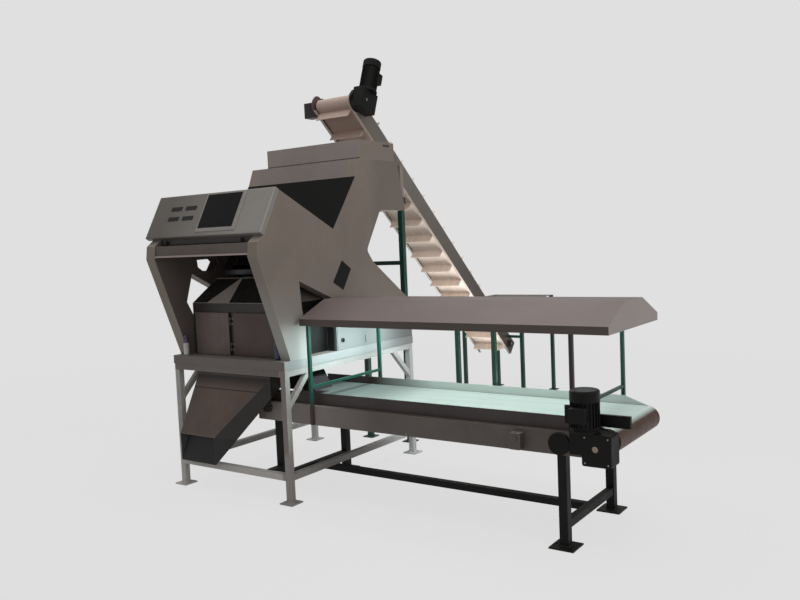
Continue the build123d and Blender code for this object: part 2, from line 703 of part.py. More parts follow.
# Feed chute: a sloping plate with ribs that guide the product in lanes
chute_line = [at(*CHUTE_TOP), at(*CHUTE_END)]
chute = side_prism(bent_sheet(chute_line, 4.0), across)
rib_line = parallel(chute_line, -12.0)
rib_points = chute_line + rib_line[::-1]
rib_step = 2 * inner_x / (CHUTE_RIBS + 1)
for i in range(1, CHUTE_RIBS + 1):
    chute += side_prism(rib_points, around(-inner_x + i * rib_step, 2.0))
nodes["feed_chute"] = chute

# Feeder hood: one folded sheet over the feeder, with the guides of the feed gate under its top
outlet_y = (front_y + OUTLET_SETBACK[0], front_y + OUTLET_SETBACK[1])
hood_line = [
    at(*ARM_FRONT),
    at(STEP_SETBACK, ARM_TOP_HEIGHT),
    at(ARM_TOP_BACK, ARM_TOP_HEIGHT),
    at(ARM_LOW_BACK, ARM_LOW_HEIGHT),
    at(ARM_LOW_FRONT, ARM_LOW_HEIGHT),
]
feeder_hood = side_prism(bent_sheet(hood_line, -SHEET), across)
feeder_hood -= block(OUTLET_X, outlet_y, (arm_top - 2 * SHEET, arm_top + 1))
gate_top = arm_top - SHEET - FACE_GAP
gate_low = gate_top - GATE_THICKNESS
gate_y = (outlet_y[1] + 10, outlet_y[1] + 20 + GATE_STROKE)
guide_y = (gate_y[0] - GATE_STROKE - 5, gate_y[1] + 5)
gate_x = inset(OUTLET_X, -20)
guide_z = (gate_low - FACE_GAP - 4, arm_top - SHEET)
for x, side in zip(gate_x, (-1, 1)):
    wall = sorted((x + side * 2, x + side * 12))
    shelf = sorted((x - side * 8, x + side * 12))
    feeder_hood += block(wall, guide_y, guide_z)
    feeder_hood += block(shelf, guide_y, (guide_z[0], gate_low - FACE_GAP))
rod_x = (OUTLET_X[0] + OUTLET_X[1]) / 2
rod_z = gate_low - 12
rod_radius = 7.0
rod_end = front_y + ARM_TOP_BACK + GATE_STROKE + GATE_KNOB_GAP
feeder_hood -= rod("Y", rod_radius + 3, (gate_y[1] + 40, rod_end), (rod_x, rod_z))
nodes["feeder_hood"] = feeder_hood

gate = block(gate_x, gate_y, (gate_low, gate_top))
gate += block(around(rod_x, 12), (gate_y[1] - 15, gate_y[1]), (rod_z - 9, gate_low + 1))
gate += rod("Y", rod_radius, (gate_y[1] - 10, rod_end), (rod_x, rod_z))
gate += rod("Y", 17.0, (rod_end - 1, rod_end + 25), (rod_x, rod_z))
nodes["feed_gate"] = gate

# Hopper: an open sheet box with a sloping floor down to its outlet
hopper_y = (front_y + HOPPER_SETBACK[0], front_y + HOPPER_SETBACK[1])
hopper_z = (arm_top, arm_top + HOPPER_HEIGHT)
floor_top = hopper_z[1] - 40
hopper = block(HOPPER_X, hopper_y, hopper_z)
hopper -= block(inset(HOPPER_X, SHEET), inset(hopper_y, SHEET), (hopper_z[0] - 1, hopper_z[1] + 1))
shell = frustum(
    (inset(OUTLET_X, -SHEET), inset(outlet_y, -SHEET), hopper_z[0]),
    (inset(HOPPER_X, SHEET / 2), inset(hopper_y, SHEET / 2), floor_top),
)
shell -= frustum(
    (OUTLET_X, outlet_y, hopper_z[0]),
    (inset(HOPPER_X, SHEET), inset(hopper_y, SHEET), floor_top + 2),
)
shell -= block(OUTLET_X, outlet_y, around(hopper_z[0], 2))
nodes["hopper"] = hopper + shell

# Vibratory feeder: the tray shakes on rubber buffers over two vibrators on a cross beam
tray_x = (-TRAY_HALF, TRAY_HALF)
tray_y = (front_y + TRAY_SETBACK[0], front_y + TRAY_SETBACK[1])
tray_z = (base_top + TRAY_BOTTOM, base_top + TRAY_BOTTOM + TRAY_HEIGHT)
feeder = block(tray_x, tray_y, tray_z)
feeder -= block(inset(tray_x, SHEET), (tray_y[0] - 1, tray_y[1] - SHEET), (tray_z[0] + SHEET, tray_z[1] + 1))
nodes["feeder_tray"] = feeder

buffer_top = tray_z[0] - FACE_GAP
beam_y = around((tray_y[0] + tray_y[1]) / 2, BEAM_HALF)
beam_top = tray_z[0] - VIBRATOR_DROP
beam_z = (beam_top - BEAM_THICKNESS, beam_top)
shaker_top = buffer_top - BUFFER_HEIGHT
shakers = [block(across, beam_y, beam_z)]
for x in (-VIBRATOR_X, VIBRATOR_X):
    shakers.append(block(around(x, 70), inset(beam_y, 10), (beam_z[1], shaker_top)))
    for dx in (-45, 45):
        middle = (beam_y[0] + beam_y[1]) / 2
        shakers.append(rod("Z", BUFFER_RADIUS, (shaker_top, buffer_top), (x + dx, middle)))
nodes["feeder_vibrators"] = group(shakers)

# Ejector manifold with a row of air valves behind the falling product
manifold_y = (front_y + MANIFOLD_SETBACK[0], front_y + MANIFOLD_SETBACK[1])
manifold_z = (base_top + MANIFOLD_HEIGHT[0], base_top + MANIFOLD_HEIGHT[1])
manifold = [block(across, manifold_y, manifold_z)]
valve_count = 16
valve_step = 2 * inner_x / valve_count
for i in range(valve_count):
    valve_x = -inner_x + (i + 0.5) * valve_step
    valve_y = (manifold_y[1], manifold_y[1] + VALVE_LENGTH)
    manifold.append(block(around(valve_x, valve_step * 0.35), valve_y, inset(manifold_z, 6)))
nodes["ejector_manifold"] = group(manifold)

# Sorting hood: collection box with two door openings, drawn in to the falling product above
hood_z = (base_top, base_top + HOOD_BREAK)
hood_top = base_top + HOOD_TOP
hood_top_x = (-HOOD_TOP_HALF, HOOD_TOP_HALF)
hood_top_y = (front_y + HOOD_TOP_SETBACK[0], front_y + HOOD_TOP_SETBACK[1])
sorting_hood = block(across, hood_y, hood_z)
sorting_hood += frustum((across, hood_y, hood_z[1]), (hood_top_x, hood_top_y, hood_top))
box_inside_x = inset(across, SHEET)
box_inside_y = inset(hood_y, SHEET)
sorting_hood -= block(box_inside_x, box_inside_y, (hood_z[0] - 1, hood_z[1]))
sorting_hood -= frustum(
    (box_inside_x, box_inside_y, hood_z[1]), (inset(hood_top_x, SHEET), inset(hood_top_y, SHEET), hood_top)
)
door_z = (base_top + DOOR_SILL, base_top + DOOR_SILL + DOOR_HEIGHT)
door_spans = (
    (DIVIDER_X[0] - LEFT_DOOR_WIDTH, DIVIDER_X[0]),
    (DIVIDER_X[1], DIVIDER_X[1] + RIGHT_DOOR_WIDTH),
)
hinge_x = (DIVIDER_X[0] + HINGE_HEIGHT + 1, DIVIDER_X[1] - HINGE_HEIGHT - 1)
hood_face = hood_y[0]
door_y = (hood_face - FACE_GAP - DOOR_THICKNESS, hood_face - FACE_GAP)
hinge_y = door_y[0] + KNUCKLE_RADIUS
pan_moving, pan_fixed = hinge(KNUCKLE_RADIUS)
for name, span, axis_x, way in zip(
    ("left_collection_door", "right_collection_door"), door_spans, hinge_x, (1, -1)
):
    sorting_hood -= block(inset(span, 20), (hood_face - 1, hood_face + SHEET + 1), inset(door_z, 20))
    door = block(span, door_y, door_z)
    door -= block(
        inset(span, SHEET), (door_y[0] + SHEET, door_y[1] + 1), inset(door_z, SHEET)
    )
    for z in inset(door_z, 70):
        spot = Plane(origin=(axis_x, hinge_y, z), x_dir=(0, -1, 0), z_dir=(0, 0, way))
        door += spot * pan_moving
        sorting_hood += spot * pan_fixed
        root_x = sorted((axis_x, axis_x + way * 18))
        for low in (-KNUCKLE_LENGTH, KNUCKLE_LENGTH / 2 + FACE_GAP):
            height = KNUCKLE_LENGTH / 2 - FACE_GAP
            sorting_hood += block(root_x, (hinge_y, hood_face + 1), (z + low, z + low + height))
    nodes[name] = door
nodes["sorting_hood"] = sorting_hood

slope_rise = (hood_top_y[0] - hood_y[0]) / (hood_top - hood_z[1])
hood_slope = Plane(
    origin=(0, hood_y[0], hood_z[1]), x_dir=(1, 0, 0), z_dir=(0, -1, slope_rise)
)
for shape in HOOD_PANES:
    panes.append(extrude(hood_slope * outline(shape), amount=PANE_THICKNESS, dir=hood_slope.z_dir))
nodes["viewing_windows"] = group(panes)

# Reject chute: a collar under the base with a sloping floor, and a duct that leans out over the lower front rail.
# It stays in front of the inspection conveyor and passes over its guards.
outlet_plane = front_y - REJECT_OUTLET_REACH
floor_slope = (REJECT_HEEL_Z - REJECT_THROAT_Z[0]) / (reject_y[1] - reject_y[0])


def reject_floor(y, lift=0.0):
    """Height of the collar's sloping floor at a setback."""
    return REJECT_THROAT_Z[0] + floor_slope * (y - reject_y[0]) + lift


def duct_plate(throat_x, throat_z, mouth_x, mouth_z):
    """One flat plate of the duct, from the collar's throat to the mouth."""
    ends = []
    for y, x, z in ((reject_y[0], throat_x, throat_z), (outlet_plane, mouth_x, mouth_z)):
        ends.append(outline([(x[0], y, z[1]), (x[1], y, z[1]), (x[1], y, z[0]), (x[0], y, z[0])]))
    return loft(ends, ruled=True)


floor_lift = SHEET * hypot(1, floor_slope)
collar_x = inset(REJECT_X, SHEET)
duct_reach = reject_y[0] - outlet_plane
duct_cut = []
for (throat, mouth) in (
    (REJECT_X[0], REJECT_OUTLET_X[0]), (REJECT_X[1], REJECT_OUTLET_X[1]),
    (REJECT_THROAT_Z[0], REJECT_OUTLET_Z[0]), (REJECT_THROAT_Z[1], REJECT_OUTLET_Z[1]),
):
    duct_cut.append(REJECT_DUCT_SHEET * hypot(1, (throat - mouth) / duct_reach))
throat_x = (REJECT_X[0] + duct_cut[0], REJECT_X[1] - duct_cut[1])
mouth_x = (REJECT_OUTLET_X[0] + duct_cut[0], REJECT_OUTLET_X[1] - duct_cut[1])
throat_z = (REJECT_THROAT_Z[0] + duct_cut[2], REJECT_THROAT_Z[1] - duct_cut[3])
mouth_z = (REJECT_OUTLET_Z[0] + duct_cut[2], REJECT_OUTLET_Z[1] - duct_cut[3])
chute_plates = []
for side_x in ((REJECT_X[0], collar_x[0]), (collar_x[1], REJECT_X[1])):
    chute_plates.append(side_prism([
        (reject_y[0], deck), (reject_y[0], REJECT_THROAT_Z[0]), (reject_y[1], REJECT_HEEL_Z), (reject_y[1], deck),
    ], side_x))
chute_plates.append(side_prism([
    (reject_y[0], reject_floor(reject_y[0])), (reject_y[1], reject_floor(reject_y[1])),
    (reject_y[1], reject_floor(reject_y[1], floor_lift)), (reject_y[0], reject_floor(reject_y[0], floor_lift)),
], collar_x))
rear_in = reject_y[1] - SHEET
chute_plates.append(side_prism([
    (rear_in, deck), (rear_in, reject_floor(rear_in, floor_lift)),
    (reject_y[1], reject_floor(reject_y[1], floor_lift)), (reject_y[1], deck),
], collar_x))
chute_plates.append(block(collar_x, (reject_y[0], reject_y[0] + SHEET), (throat_z[1], deck)))
for z_pair, out_pair in (
    ((throat_z[1], REJECT_THROAT_Z[1]), (mouth_z[1], REJECT_OUTLET_Z[1])),
    ((REJECT_THROAT_Z[0], throat_z[0]), (REJECT_OUTLET_Z[0], mouth_z[0])),
):
    chute_plates.append(duct_plate(REJECT_X, z_pair, REJECT_OUTLET_X, out_pair))
for x_pair, out_pair in (
    ((REJECT_X[0], throat_x[0]), (REJECT_OUTLET_X[0], mouth_x[0])),
    ((throat_x[1], REJECT_X[1]), (mouth_x[1], REJECT_OUTLET_X[1])),
):
    chute_plates.append(duct_plate(x_pair, throat_z, out_pair, mouth_z))
nodes["reject_chute"] = group(chute_plates)

# Accept chute: a collar under the base that widens towards its open foot over the inspection belt
accept_bend = STAND_HEIGHT - ACCEPT_BEND_DROP
accept_low = DRUM_Z + DRUM_RADIUS + BELT_THICKNESS + ACCEPT_BELT_GAP


def accept_shape(wall, reach):
    """Front view of the accept chute, drawn in by a wall thickness and lengthened at both ends."""
    return [
        (ACCEPT_START + wall, deck + reach),
        (ACCEPT_START + wall, accept_low - reach),
        (ACCEPT_SPOUT_X - wall, accept_low - reach),
        (inner_x - wall, accept_bend),
        (inner_x - wall, deck + reach),
    ]


accept = front_prism(accept_shape(0, 0), accept_y)
nodes["accept_chute"] = accept - front_prism(accept_shape(SHEET, 1), inset(accept_y, SHEET))

# Rear cover: a folded sheet from the feeder hood round the waist and down to the base
rear_line = [
    at(ARM_LOW_FRONT - 2, ARM_LOW_HEIGHT - 4),
    at(*WAIST),
    at(*WAIST_LOW),
    at(HEEL_BACK, HEEL_HEIGHT),
    at(HEEL_BACK, 0),
]
nodes["rear_cover"] = side_prism(bent_sheet(rear_line, -SHEET), across)

# Air filters that stand on the base beside the doors
filters = []
for x, setback in FILTER_SPOTS:
    spot = (x, front_y + setback)
    bowl, neck, head, knob = (base_top + height for height in FILTER_HEIGHTS)
    unit = rod("Z", FILTER_RADIUS, (base_top, bowl), spot)
    unit += rod("Z", FILTER_NECK_RADIUS, (bowl - 1, neck), spot)
    unit += block(around(spot[0], FILTER_HEAD / 2), around(spot[1], FILTER_HEAD / 2), (neck - 5, head))
    unit += rod("Z", FILTER_KNOB_RADIUS, (head - 1, knob), spot)
    filters.append(unit)
nodes["air_filters"] = group(filters)

# Feed elevator: side frames joined by the slider bed
web_outer = (ELEVATOR_X - ELEVATOR_HALF, ELEVATOR_X + ELEVATOR_HALF)
web_inner = inset(web_outer, ELEVATOR_WEB)
half_depth = ELEVATOR_DEPTH / 2
frame_ends = (-ELEVATOR_OVERHANG, ELEVATOR_LENGTH + ELEVATOR_OVERHANG)
head_point = on_slope(0, 0)
tail_point = on_slope(ELEVATOR_LENGTH, 0)


def slope_block(x, along, normal):
    """Box in the elevator's sloping frame."""
    points = [(along[0], normal[0]), (along[1], normal[0]), (along[1], normal[1]), (along[0], normal[1])]
    plane = slope_plane.offset(x[0])
    return extrude(plane * outline(points), amount=x[1] - x[0], dir=(1, 0, 0))


bed_normal = (ELEVATOR_DRUM - ELEVATOR_WEB, ELEVATOR_DRUM)
bed_ends = (ELEVATOR_DRUM + 30, ELEVATOR_LENGTH - ELEVATOR_DRUM - 30)
elevator_frame = slope_block(inset(web_inner, -1), bed_ends, bed_normal)
for outer, inner, side in zip(web_outer, web_inner, (1, -1)):
    web = slope_block(sorted((outer, inner)), frame_ends, (-half_depth, half_depth))
    head_edges = [edge for edge in web.edges().filter_by(Axis.X) if edge.center().Y < on_slope(0, 0)[0]]
    web = fillet(head_edges, ELEVATOR_HEAD_ROUND)
    for point in (head_point, tail_point):
        web -= rod("X", ELEVATOR_SHAFT + 8, sorted((outer - side, inner + side)), point)
    elevator_frame += web
    for low in (-half_depth, half_depth - ELEVATOR_WEB):
        flange = sorted((outer, outer + side * (ELEVATOR_WEB + ELEVATOR_FLANGE)))
        flange_ends = (frame_ends[0] + ELEVATOR_HEAD_ROUND, frame_ends[1])
        elevator_frame += slope_block(flange, flange_ends, (low, low + ELEVATOR_WEB))
nodes["elevator_frame"] = elevator_frame

belt_outer = ELEVATOR_DRUM + BELT_THICKNESS
loop = Pos(ELEVATOR_LENGTH / 2, 0) * SlotCenterToCenter(ELEVATOR_LENGTH, 2 * belt_outer)
loop -= Pos(ELEVATOR_LENGTH / 2, 0) * SlotCenterToCenter(ELEVATOR_LENGTH, 2 * ELEVATOR_DRUM)
belt_x = around(ELEVATOR_X, ELEVATOR_BELT / 2)
elevator_belt = extrude(slope_plane.offset(belt_x[0]) * loop, amount=ELEVATOR_BELT, dir=(1, 0, 0))
cleat_x = around(ELEVATOR_X, CLEAT_WIDTH / 2)
for side, start in ((-1, CLEAT_START), (1, CLEAT_START + CLEAT_PITCH / 2)):
    normal = sorted((side * (belt_outer - 1), side * (belt_outer + CLEAT_HEIGHT)))
    for i in range(int((ELEVATOR_LENGTH - start) / CLEAT_PITCH) + 1):
        along = around(start + i * CLEAT_PITCH, CLEAT_THICKNESS / 2)
        elevator_belt += slope_block(cleat_x, along, normal)
nodes["elevator_belt"] = elevator_belt


def drum(axis, radius, shaft, face, shaft_span, centre):
    """Tube drum with pierced end discs on a through shaft."""
    shell_wall = 6.0
    body = rod(axis, radius, face, centre) - rod(axis, radius - shell_wall, inset(face, -1), centre)
    for span in ((face[0] + 20, face[0] + 28), (face[1] - 28, face[1] - 20)):
        disc = rod(axis, radius - shell_wall / 2, span, centre)
        reach = (radius - shell_wall + shaft) / 2
        for way in ((1, 0), (-1, 0), (0, 1), (0, -1)):
            spot = (centre[0] + way[0] * reach, centre[1] + way[1] * reach)
            disc -= rod(axis, (radius - shell_wall - shaft) * 0.3, inset(span, -1), spot)
        body += disc
    return body + rod(axis, shaft, shaft_span, centre)


bearing_depth = 32.0
shaft_out = bearing_depth - 2
drum_face = inset(web_inner, 14)
flange_depth = 20.0
reducer_depth = 110.0
reducer_x = (web_outer[1] + flange_depth, web_outer[1] + flange_depth + reducer_depth)
head_shaft = (web_outer[0] - shaft_out, reducer_x[1] - 4)
drum_radius = ELEVATOR_DRUM - BELT_GAP
nodes["elevator_head_drum"] = drum("X", drum_radius, ELEVATOR_SHAFT, drum_face, head_shaft, head_point)
tail_shaft = (web_outer[0] - shaft_out, web_outer[1] + shaft_out)
nodes["elevator_tail_drum"] = drum("X", drum_radius, ELEVATOR_SHAFT, drum_face, tail_shaft, tail_point)

# Head drive: flanged worm gearbox on the right web, with its motor leaning back
tilt = radians(HEAD_MOTOR_TILT)
drive_plane = Plane(
    origin=(0, head_point[0], head_point[1]), x_dir=(0, cos(tilt), -sin(tilt)), z_dir=(1, 0, 0)
)


def drive_block(x, across_span, up_span):
    """Box in the head drive's leaning frame."""
    points = [
        (across_span[0], up_span[0]), (across_span[1], up_span[0]),
        (across_span[1], up_span[1]), (across_span[0], up_span[1]),
    ]
    return extrude(drive_plane.offset(x[0]) * outline(points), amount=x[1] - x[0], dir=(1, 0, 0))


reducer = rod("X", 98.0, (web_outer[1], reducer_x[0] + 1), head_point)
reducer += drive_block(reducer_x, (-85, 140), (-90, 100))
reducer += drive_block(inset(reducer_x, 30), (139, 175), (-15, 30))
motor_offset = 45.0
seat = drive_plane.offset((reducer_x[0] + reducer_x[1]) / 2) * Pos(motor_offset, 100, 0)
seat_turn = seat * Rot(-90, 0, 0)
reducer += seat_turn * Pos(0, 0, 5) * Cylinder(HEAD_MOTOR_RADIUS + 6, 12.0)
reducer -= rod("X", ELEVATOR_SHAFT + RUN_CLEARANCE, (web_outer[1] - 1, reducer_x[1] + 1), head_point)
nodes["elevator_gearbox"] = reducer


def motor(radius, length):
    """Finned motor on local Z with a flange at the bottom and a fan cover on top."""
    body = Pos(0, 0, 7) * Cylinder(radius, 14.0)
    body += Pos(0, 0, length / 2) * Cylinder(radius - 12, length)
    fin_low = 30.0
    fin_high = length - 75.0
    for i in range(24):
        fin = Pos(radius - 9, 0, (fin_low + fin_high) / 2) * Box(14.0, 4.0, fin_high - fin_low)
        body += Rot(0, 0, i * 15) * fin
    cover = Pos(0, 0, length - 35) * Cylinder(radius, 70.0)
    cover = fillet(cover.faces().sort_by(Axis.Z)[-1].edges(), 14)
    return body + cover


motor_base = 11.0
head_motor = motor(HEAD_MOTOR_RADIUS, HEAD_MOTOR_LENGTH)
terminal = block((HEAD_MOTOR_RADIUS - 14, HEAD_MOTOR_RADIUS + 42), (-45, 45), (115, 215))
head_motor += terminal
nodes["elevator_motor"] = seat_turn * Pos(0, 0, motor_base) * head_motor

# Elevator legs on both sides of the frame, tied to the sorter's stand, and the posts of the infeed hopper
elevator_legs = []
elevator_leg_x = (web_outer[0] - TUBE / 2, web_outer[1] + TUBE / 2)
for y in ELEVATOR_LEG_Y:
    top = HEAD_AXIS[1] - (y - HEAD_AXIS[0]) * tan(slope)
    for x in elevator_leg_x:
        leg = tube((x, y, FOOT_THICKNESS), (x, y, top), TUBE)
        anchor = ((0, -ELEVATOR_ANCHOR_OFFSET), (0, ELEVATOR_ANCHOR_OFFSET))
        elevator_legs.append(leg + foot_plate(x, y, ELEVATOR_FOOT, anchor))
bar_y = ELEVATOR_LEG_Y[0]
elevator_legs.append(tube((web_outer[0], bar_y, CROSSBAR_Z), (web_outer[1], bar_y, CROSSBAR_Z), ELEVATOR_BAR))
tie_y = (leg_y + TUBE / 2, bar_y - TUBE / 2)
for x in elevator_leg_x:
    elevator_legs.append(tube((x, tie_y[0], rail_z), (x, tie_y[1], rail_z), ELEVATOR_BAR))
post_x = around(ELEVATOR_X, INFEED_HALF)
for y in INFEED_POST_Y:
    for x in post_x:
        post = tube((x, y, FOOT_THICKNESS), (x, y, INFEED_TOP - SHEET), INFEED_POST)
        foot = block(around(x, 50), around(y, 50), (0, FOOT_THICKNESS))
        elevator_legs.append(post + foot)
stub_y = INFEED_POST_Y[0]
stub_z = HEAD_AXIS[1] - (stub_y - HEAD_AXIS[0]) * tan(slope) + INFEED_STUB_RISE
for web, x, side in zip(web_outer, post_x, (-1, 1)):
    face = x - side * INFEED_POST / 2
    elevator_legs.append(tube((min(web, face), stub_y, stub_z), (max(web, face), stub_y, stub_z), INFEED_STUB))
nodes["elevator_legs"] = group(elevator_legs)

infeed_rim_x = around(ELEVATOR_X, INFEED_HALF + INFEED_POST / 2 + 5)
infeed_rim_y = inset(INFEED_POST_Y, -INFEED_POST / 2 - 5)
infeed_x = around(ELEVATOR_X, INFEED_HALF - INFEED_POST / 2 - 10)
infeed_y = inset(INFEED_POST_Y, INFEED_POST / 2 + 10)
infeed_low_x = around(ELEVATOR_X, CLEAT_WIDTH / 2)


def mitred_plates(low, high, low_width, high_width):
    """Four flat plates between two level rectangles (x, y, z), mitred at the corners."""
    plates = []
    corners = ((0, 0), (1, 0), (1, 1), (0, 1))
    for i in range(4):
        ends = (corners[i], corners[(i + 1) % 4])
        faces = []
        for (x, y, z), width in ((low, low_width), (high, high_width)):
            outer = [(x[a], y[b], z) for a, b in ends]
            inner = [(inset(x, width)[a], inset(y, width)[b], z) for a, b in ends]
            faces.append(outline(outer + inner[::-1]))
        plates.append(loft(faces, ruled=True))
    return plates


infeed_wall = 2 * SHEET
infeed_shoulder = INFEED_TOP - SHEET
infeed = mitred_plates(
    (inset(infeed_low_x, -SHEET), inset(INFEED_OUTLET_Y, -SHEET), INFEED_OUTLET_Z),
    (infeed_x, infeed_y, infeed_shoulder),
    SHEET, infeed_wall,
)
rim_width = infeed_x[0] + infeed_wall - infeed_rim_x[0]
infeed += mitred_plates(
    (infeed_rim_x, infeed_rim_y, infeed_shoulder), (infeed_rim_x, infeed_rim_y, INFEED_TOP),
    rim_width, rim_width,
)
nodes["infeed_hopper"] = group(infeed)

# Inspection conveyor: channel side frames with guards, a slider bed and a flat belt between drums
web_y = around(CONVEYOR_Y, FRAME_HALF)
drum_centres = ((DRIVE_X, DRUM_Z), (TAIL_X, DRUM_Z))
belt_radius = DRUM_RADIUS + BELT_THICKNESS
roller_z = DRUM_Z - belt_radius - BELT_GAP - ROLLER_RADIUS
roller_shaft = 6.0
side_frames = []
guards = []
for outer, side in zip(web_y, (1, -1)):
    web_line = [
        (FRAME_X[0], FRAME_Z[0]),
        (FRAME_X[0], FRAME_Z[1]),
        (FRAME_X[1], FRAME_Z[1]),
        (FRAME_X[1], FRAME_Z[0] + FRAME_CUT[1]),
        (FRAME_X[1] - FRAME_CUT[0], FRAME_Z[0]),
    ]
    web = front_prism(web_line, sorted((outer, outer + side * SHEET * 2)))
    flange_y = sorted((outer, outer + side * FRAME_FLANGE))
    web += block(FRAME_X, flange_y, (FRAME_Z[1] - SHEET, FRAME_Z[1]))
    web += block((FRAME_X[0], FRAME_X[1] - FRAME_CUT[0]), flange_y, (FRAME_Z[0], FRAME_Z[0] + SHEET))
    bore_span = sorted((outer - side, outer + side * 8))
    for x, z in drum_centres:
        web -= rod("Y", DRUM_SHAFT + 4, bore_span, (x, z))
    web -= rod("Y", roller_shaft + RUN_CLEARANCE, bore_span, (ROLLER_X, roller_z))
    side_frames.append(web)
    guard_face = outer + side * FRAME_FLANGE
    guard_line = [
        (GUARD_START, FRAME_Z[1]),
        (GUARD_START, GUARD_TOP),
        (GUARD_SLOPE_X[0], GUARD_TOP),
        (GUARD_SLOPE_X[1], GUARD_END_Z),
        (GUARD_SLOPE_X[1], FRAME_Z[1]),
    ]
    guards.append(front_prism(guard_line, sorted((guard_face, guard_face - side * SHEET))))
nodes["conveyor_side_frames"] = group(side_frames)
nodes["conveyor_guards"] = group(guards)

belt_y = around(CONVEYOR_Y, BELT_HALF)
belt_mid = (DRIVE_X + TAIL_X) / 2
belt_reach = DRIVE_X - TAIL_X
loop = SlotCenterToCenter(belt_reach, 2 * belt_radius) - SlotCenterToCenter(belt_reach, 2 * DRUM_RADIUS)
loop_plane = Plane.XZ.offset(-belt_y[0]) * Pos(belt_mid, DRUM_Z)
nodes["conveyor_belt"] = extrude(loop_plane * loop, amount=2 * BELT_HALF, dir=(0, 1, 0))

bed_top = DRUM_Z + DRUM_RADIUS
bed_x = (TAIL_X + DRUM_RADIUS + 30, DRIVE_X - DRUM_RADIUS - 30)
bed_y = around(CONVEYOR_Y, FRAME_HALF - FRAME_FLANGE)
bed = block(bed_x, bed_y, (bed_top - SHEET, bed_top))
for y in bed_y:
    side = 1 if y < CONVEYOR_Y else -1
    bed += block(bed_x, sorted((y, y + side * SHEET)), (FRAME_Z[1] - 40, bed_top))
nodes["conveyor_bed"] = bed

conveyor_drum_face = inset(belt_y, -8)
web_shaft = (web_y[0] - shaft_out, web_y[1] + shaft_out)
gearbox_y = (web_y[0] - bearing_depth - 8 - GEARBOX_DEPTH, web_y[0] - bearing_depth - 8)
drive_shaft = (gearbox_y[0] + 4, web_y[1] + shaft_out)
drum_radius = DRUM_RADIUS - BELT_GAP
nodes["conveyor_drive_drum"] = drum(
    "Y", drum_radius, DRUM_SHAFT, conveyor_drum_face, drive_shaft, drum_centres[0]
)
nodes["conveyor_tail_drum"] = drum(
    "Y", drum_radius, DRUM_SHAFT, conveyor_drum_face, web_shaft, drum_centres[1]
)
roller = rod("Y", ROLLER_RADIUS, belt_y, (ROLLER_X, roller_z))
nodes["return_roller"] = roller + rod("Y", roller_shaft, inset(web_y, 1), (ROLLER_X, roller_z))

# Bearings bolted on the webs of both conveyors
bearings = []
for x, z in drum_centres:
    for outer, side in zip(web_y, (-1, 1)):
        span = sorted((outer, outer + side * bearing_depth))
        plate = sorted((outer, outer + side * 12))
        unit = rod("Y", 42.0, plate, (x, z)) + rod("Y", 34.0, span, (x, z))
        bearings.append(unit - rod("Y", DRUM_SHAFT + RUN_CLEARANCE, inset(span, -1), (x, z)))
for point, sides in ((head_point, (-1,)), (tail_point, (-1, 1))):
    for side in sides:
        outer = web_outer[0] if side < 0 else web_outer[1]
        span = sorted((outer, outer + side * bearing_depth))
        plate = sorted((outer, outer + side * 14))
        size = 60.0 if point == head_point else 42.0
        unit = block(plate, around(point[0], size), around(point[1], size))
        unit += rod("X", size * 0.8, span, point)
        if point == head_point:
            unit += block((outer - TAKE_UP_DEPTH, outer), around(point[0], 55), (point[1] - 95, point[1] + 45))
        bore = (outer, outer + side * bearing_depth)
        bearings.append(unit - rod("X", ELEVATOR_SHAFT + RUN_CLEARANCE, inset(sorted(bore), -1), point))
nodes["drum_bearings"] = group(bearings)

# Conveyor drive: gearbox on the drive shaft, upright motor, and the bar and round cover on the near web
gearbox = block(GEARBOX_X, gearbox_y, GEARBOX_Z)
gearbox = fillet(gearbox.edges().filter_by(Axis.Y), 14)
motor_y = gearbox_y[0] + 48
gearbox += rod("Z", 70.0, (GEARBOX_Z[1] - 1, GEARBOX_Z[1] + 6), (DRIVE_MOTOR_X, motor_y))
gearbox -= rod("Y", DRUM_SHAFT + RUN_CLEARANCE, inset(gearbox_y, -1), drum_centres[0])
nodes["conveyor_gearbox"] = gearbox
drive_motor = motor(DRIVE_MOTOR_RADIUS, DRIVE_MOTOR_LENGTH)
drive_motor += block((-50, 50), (-DRIVE_MOTOR_RADIUS - 40, -DRIVE_MOTOR_RADIUS + 14), (70, 160))
nodes["conveyor_motor"] = Pos(DRIVE_MOTOR_X, motor_y, GEARBOX_Z[1] + 6) * drive_motor

bar_y = (web_y[0] - POST_SIZE, web_y[0])
bracket = block(BRACKET_X, bar_y, BRACKET_Z)
bracket += block((BRACKET_X[0], BRACKET_X[0] + BRACKET_SEAT[0]), bar_y, (BRACKET_Z[0] + 20, BRACKET_SEAT[1]))
plate_x = (BRACKET_X[0] + BRACKET_PLATE[0], BRACKET_X[0] + BRACKET_PLATE[1])
bracket += block(plate_x, bar_y, (FRAME_Z[0] + 20, BRACKET_Z[0] + 1))
round_cover = rod("Y", COVER_RADIUS, (web_y[0] - 22, web_y[0]), (COVER_X, (FRAME_Z[0] + FRAME_Z[1]) / 2))
nodes["drive_bracket"] = group([bracket, round_cover])

switch = block(SWITCH_X, (web_y[0] - 60, web_y[0]), SWITCH_Z)
switch = fillet(switch.edges().filter_by(Axis.Y), 6)
switch += rod("Y", 16.0, (web_y[0] - 72, web_y[0] - 59), ((SWITCH_X[0] + SWITCH_X[1]) / 2, SWITCH_Z[1] - 35))
nodes["switch_box"] = switch

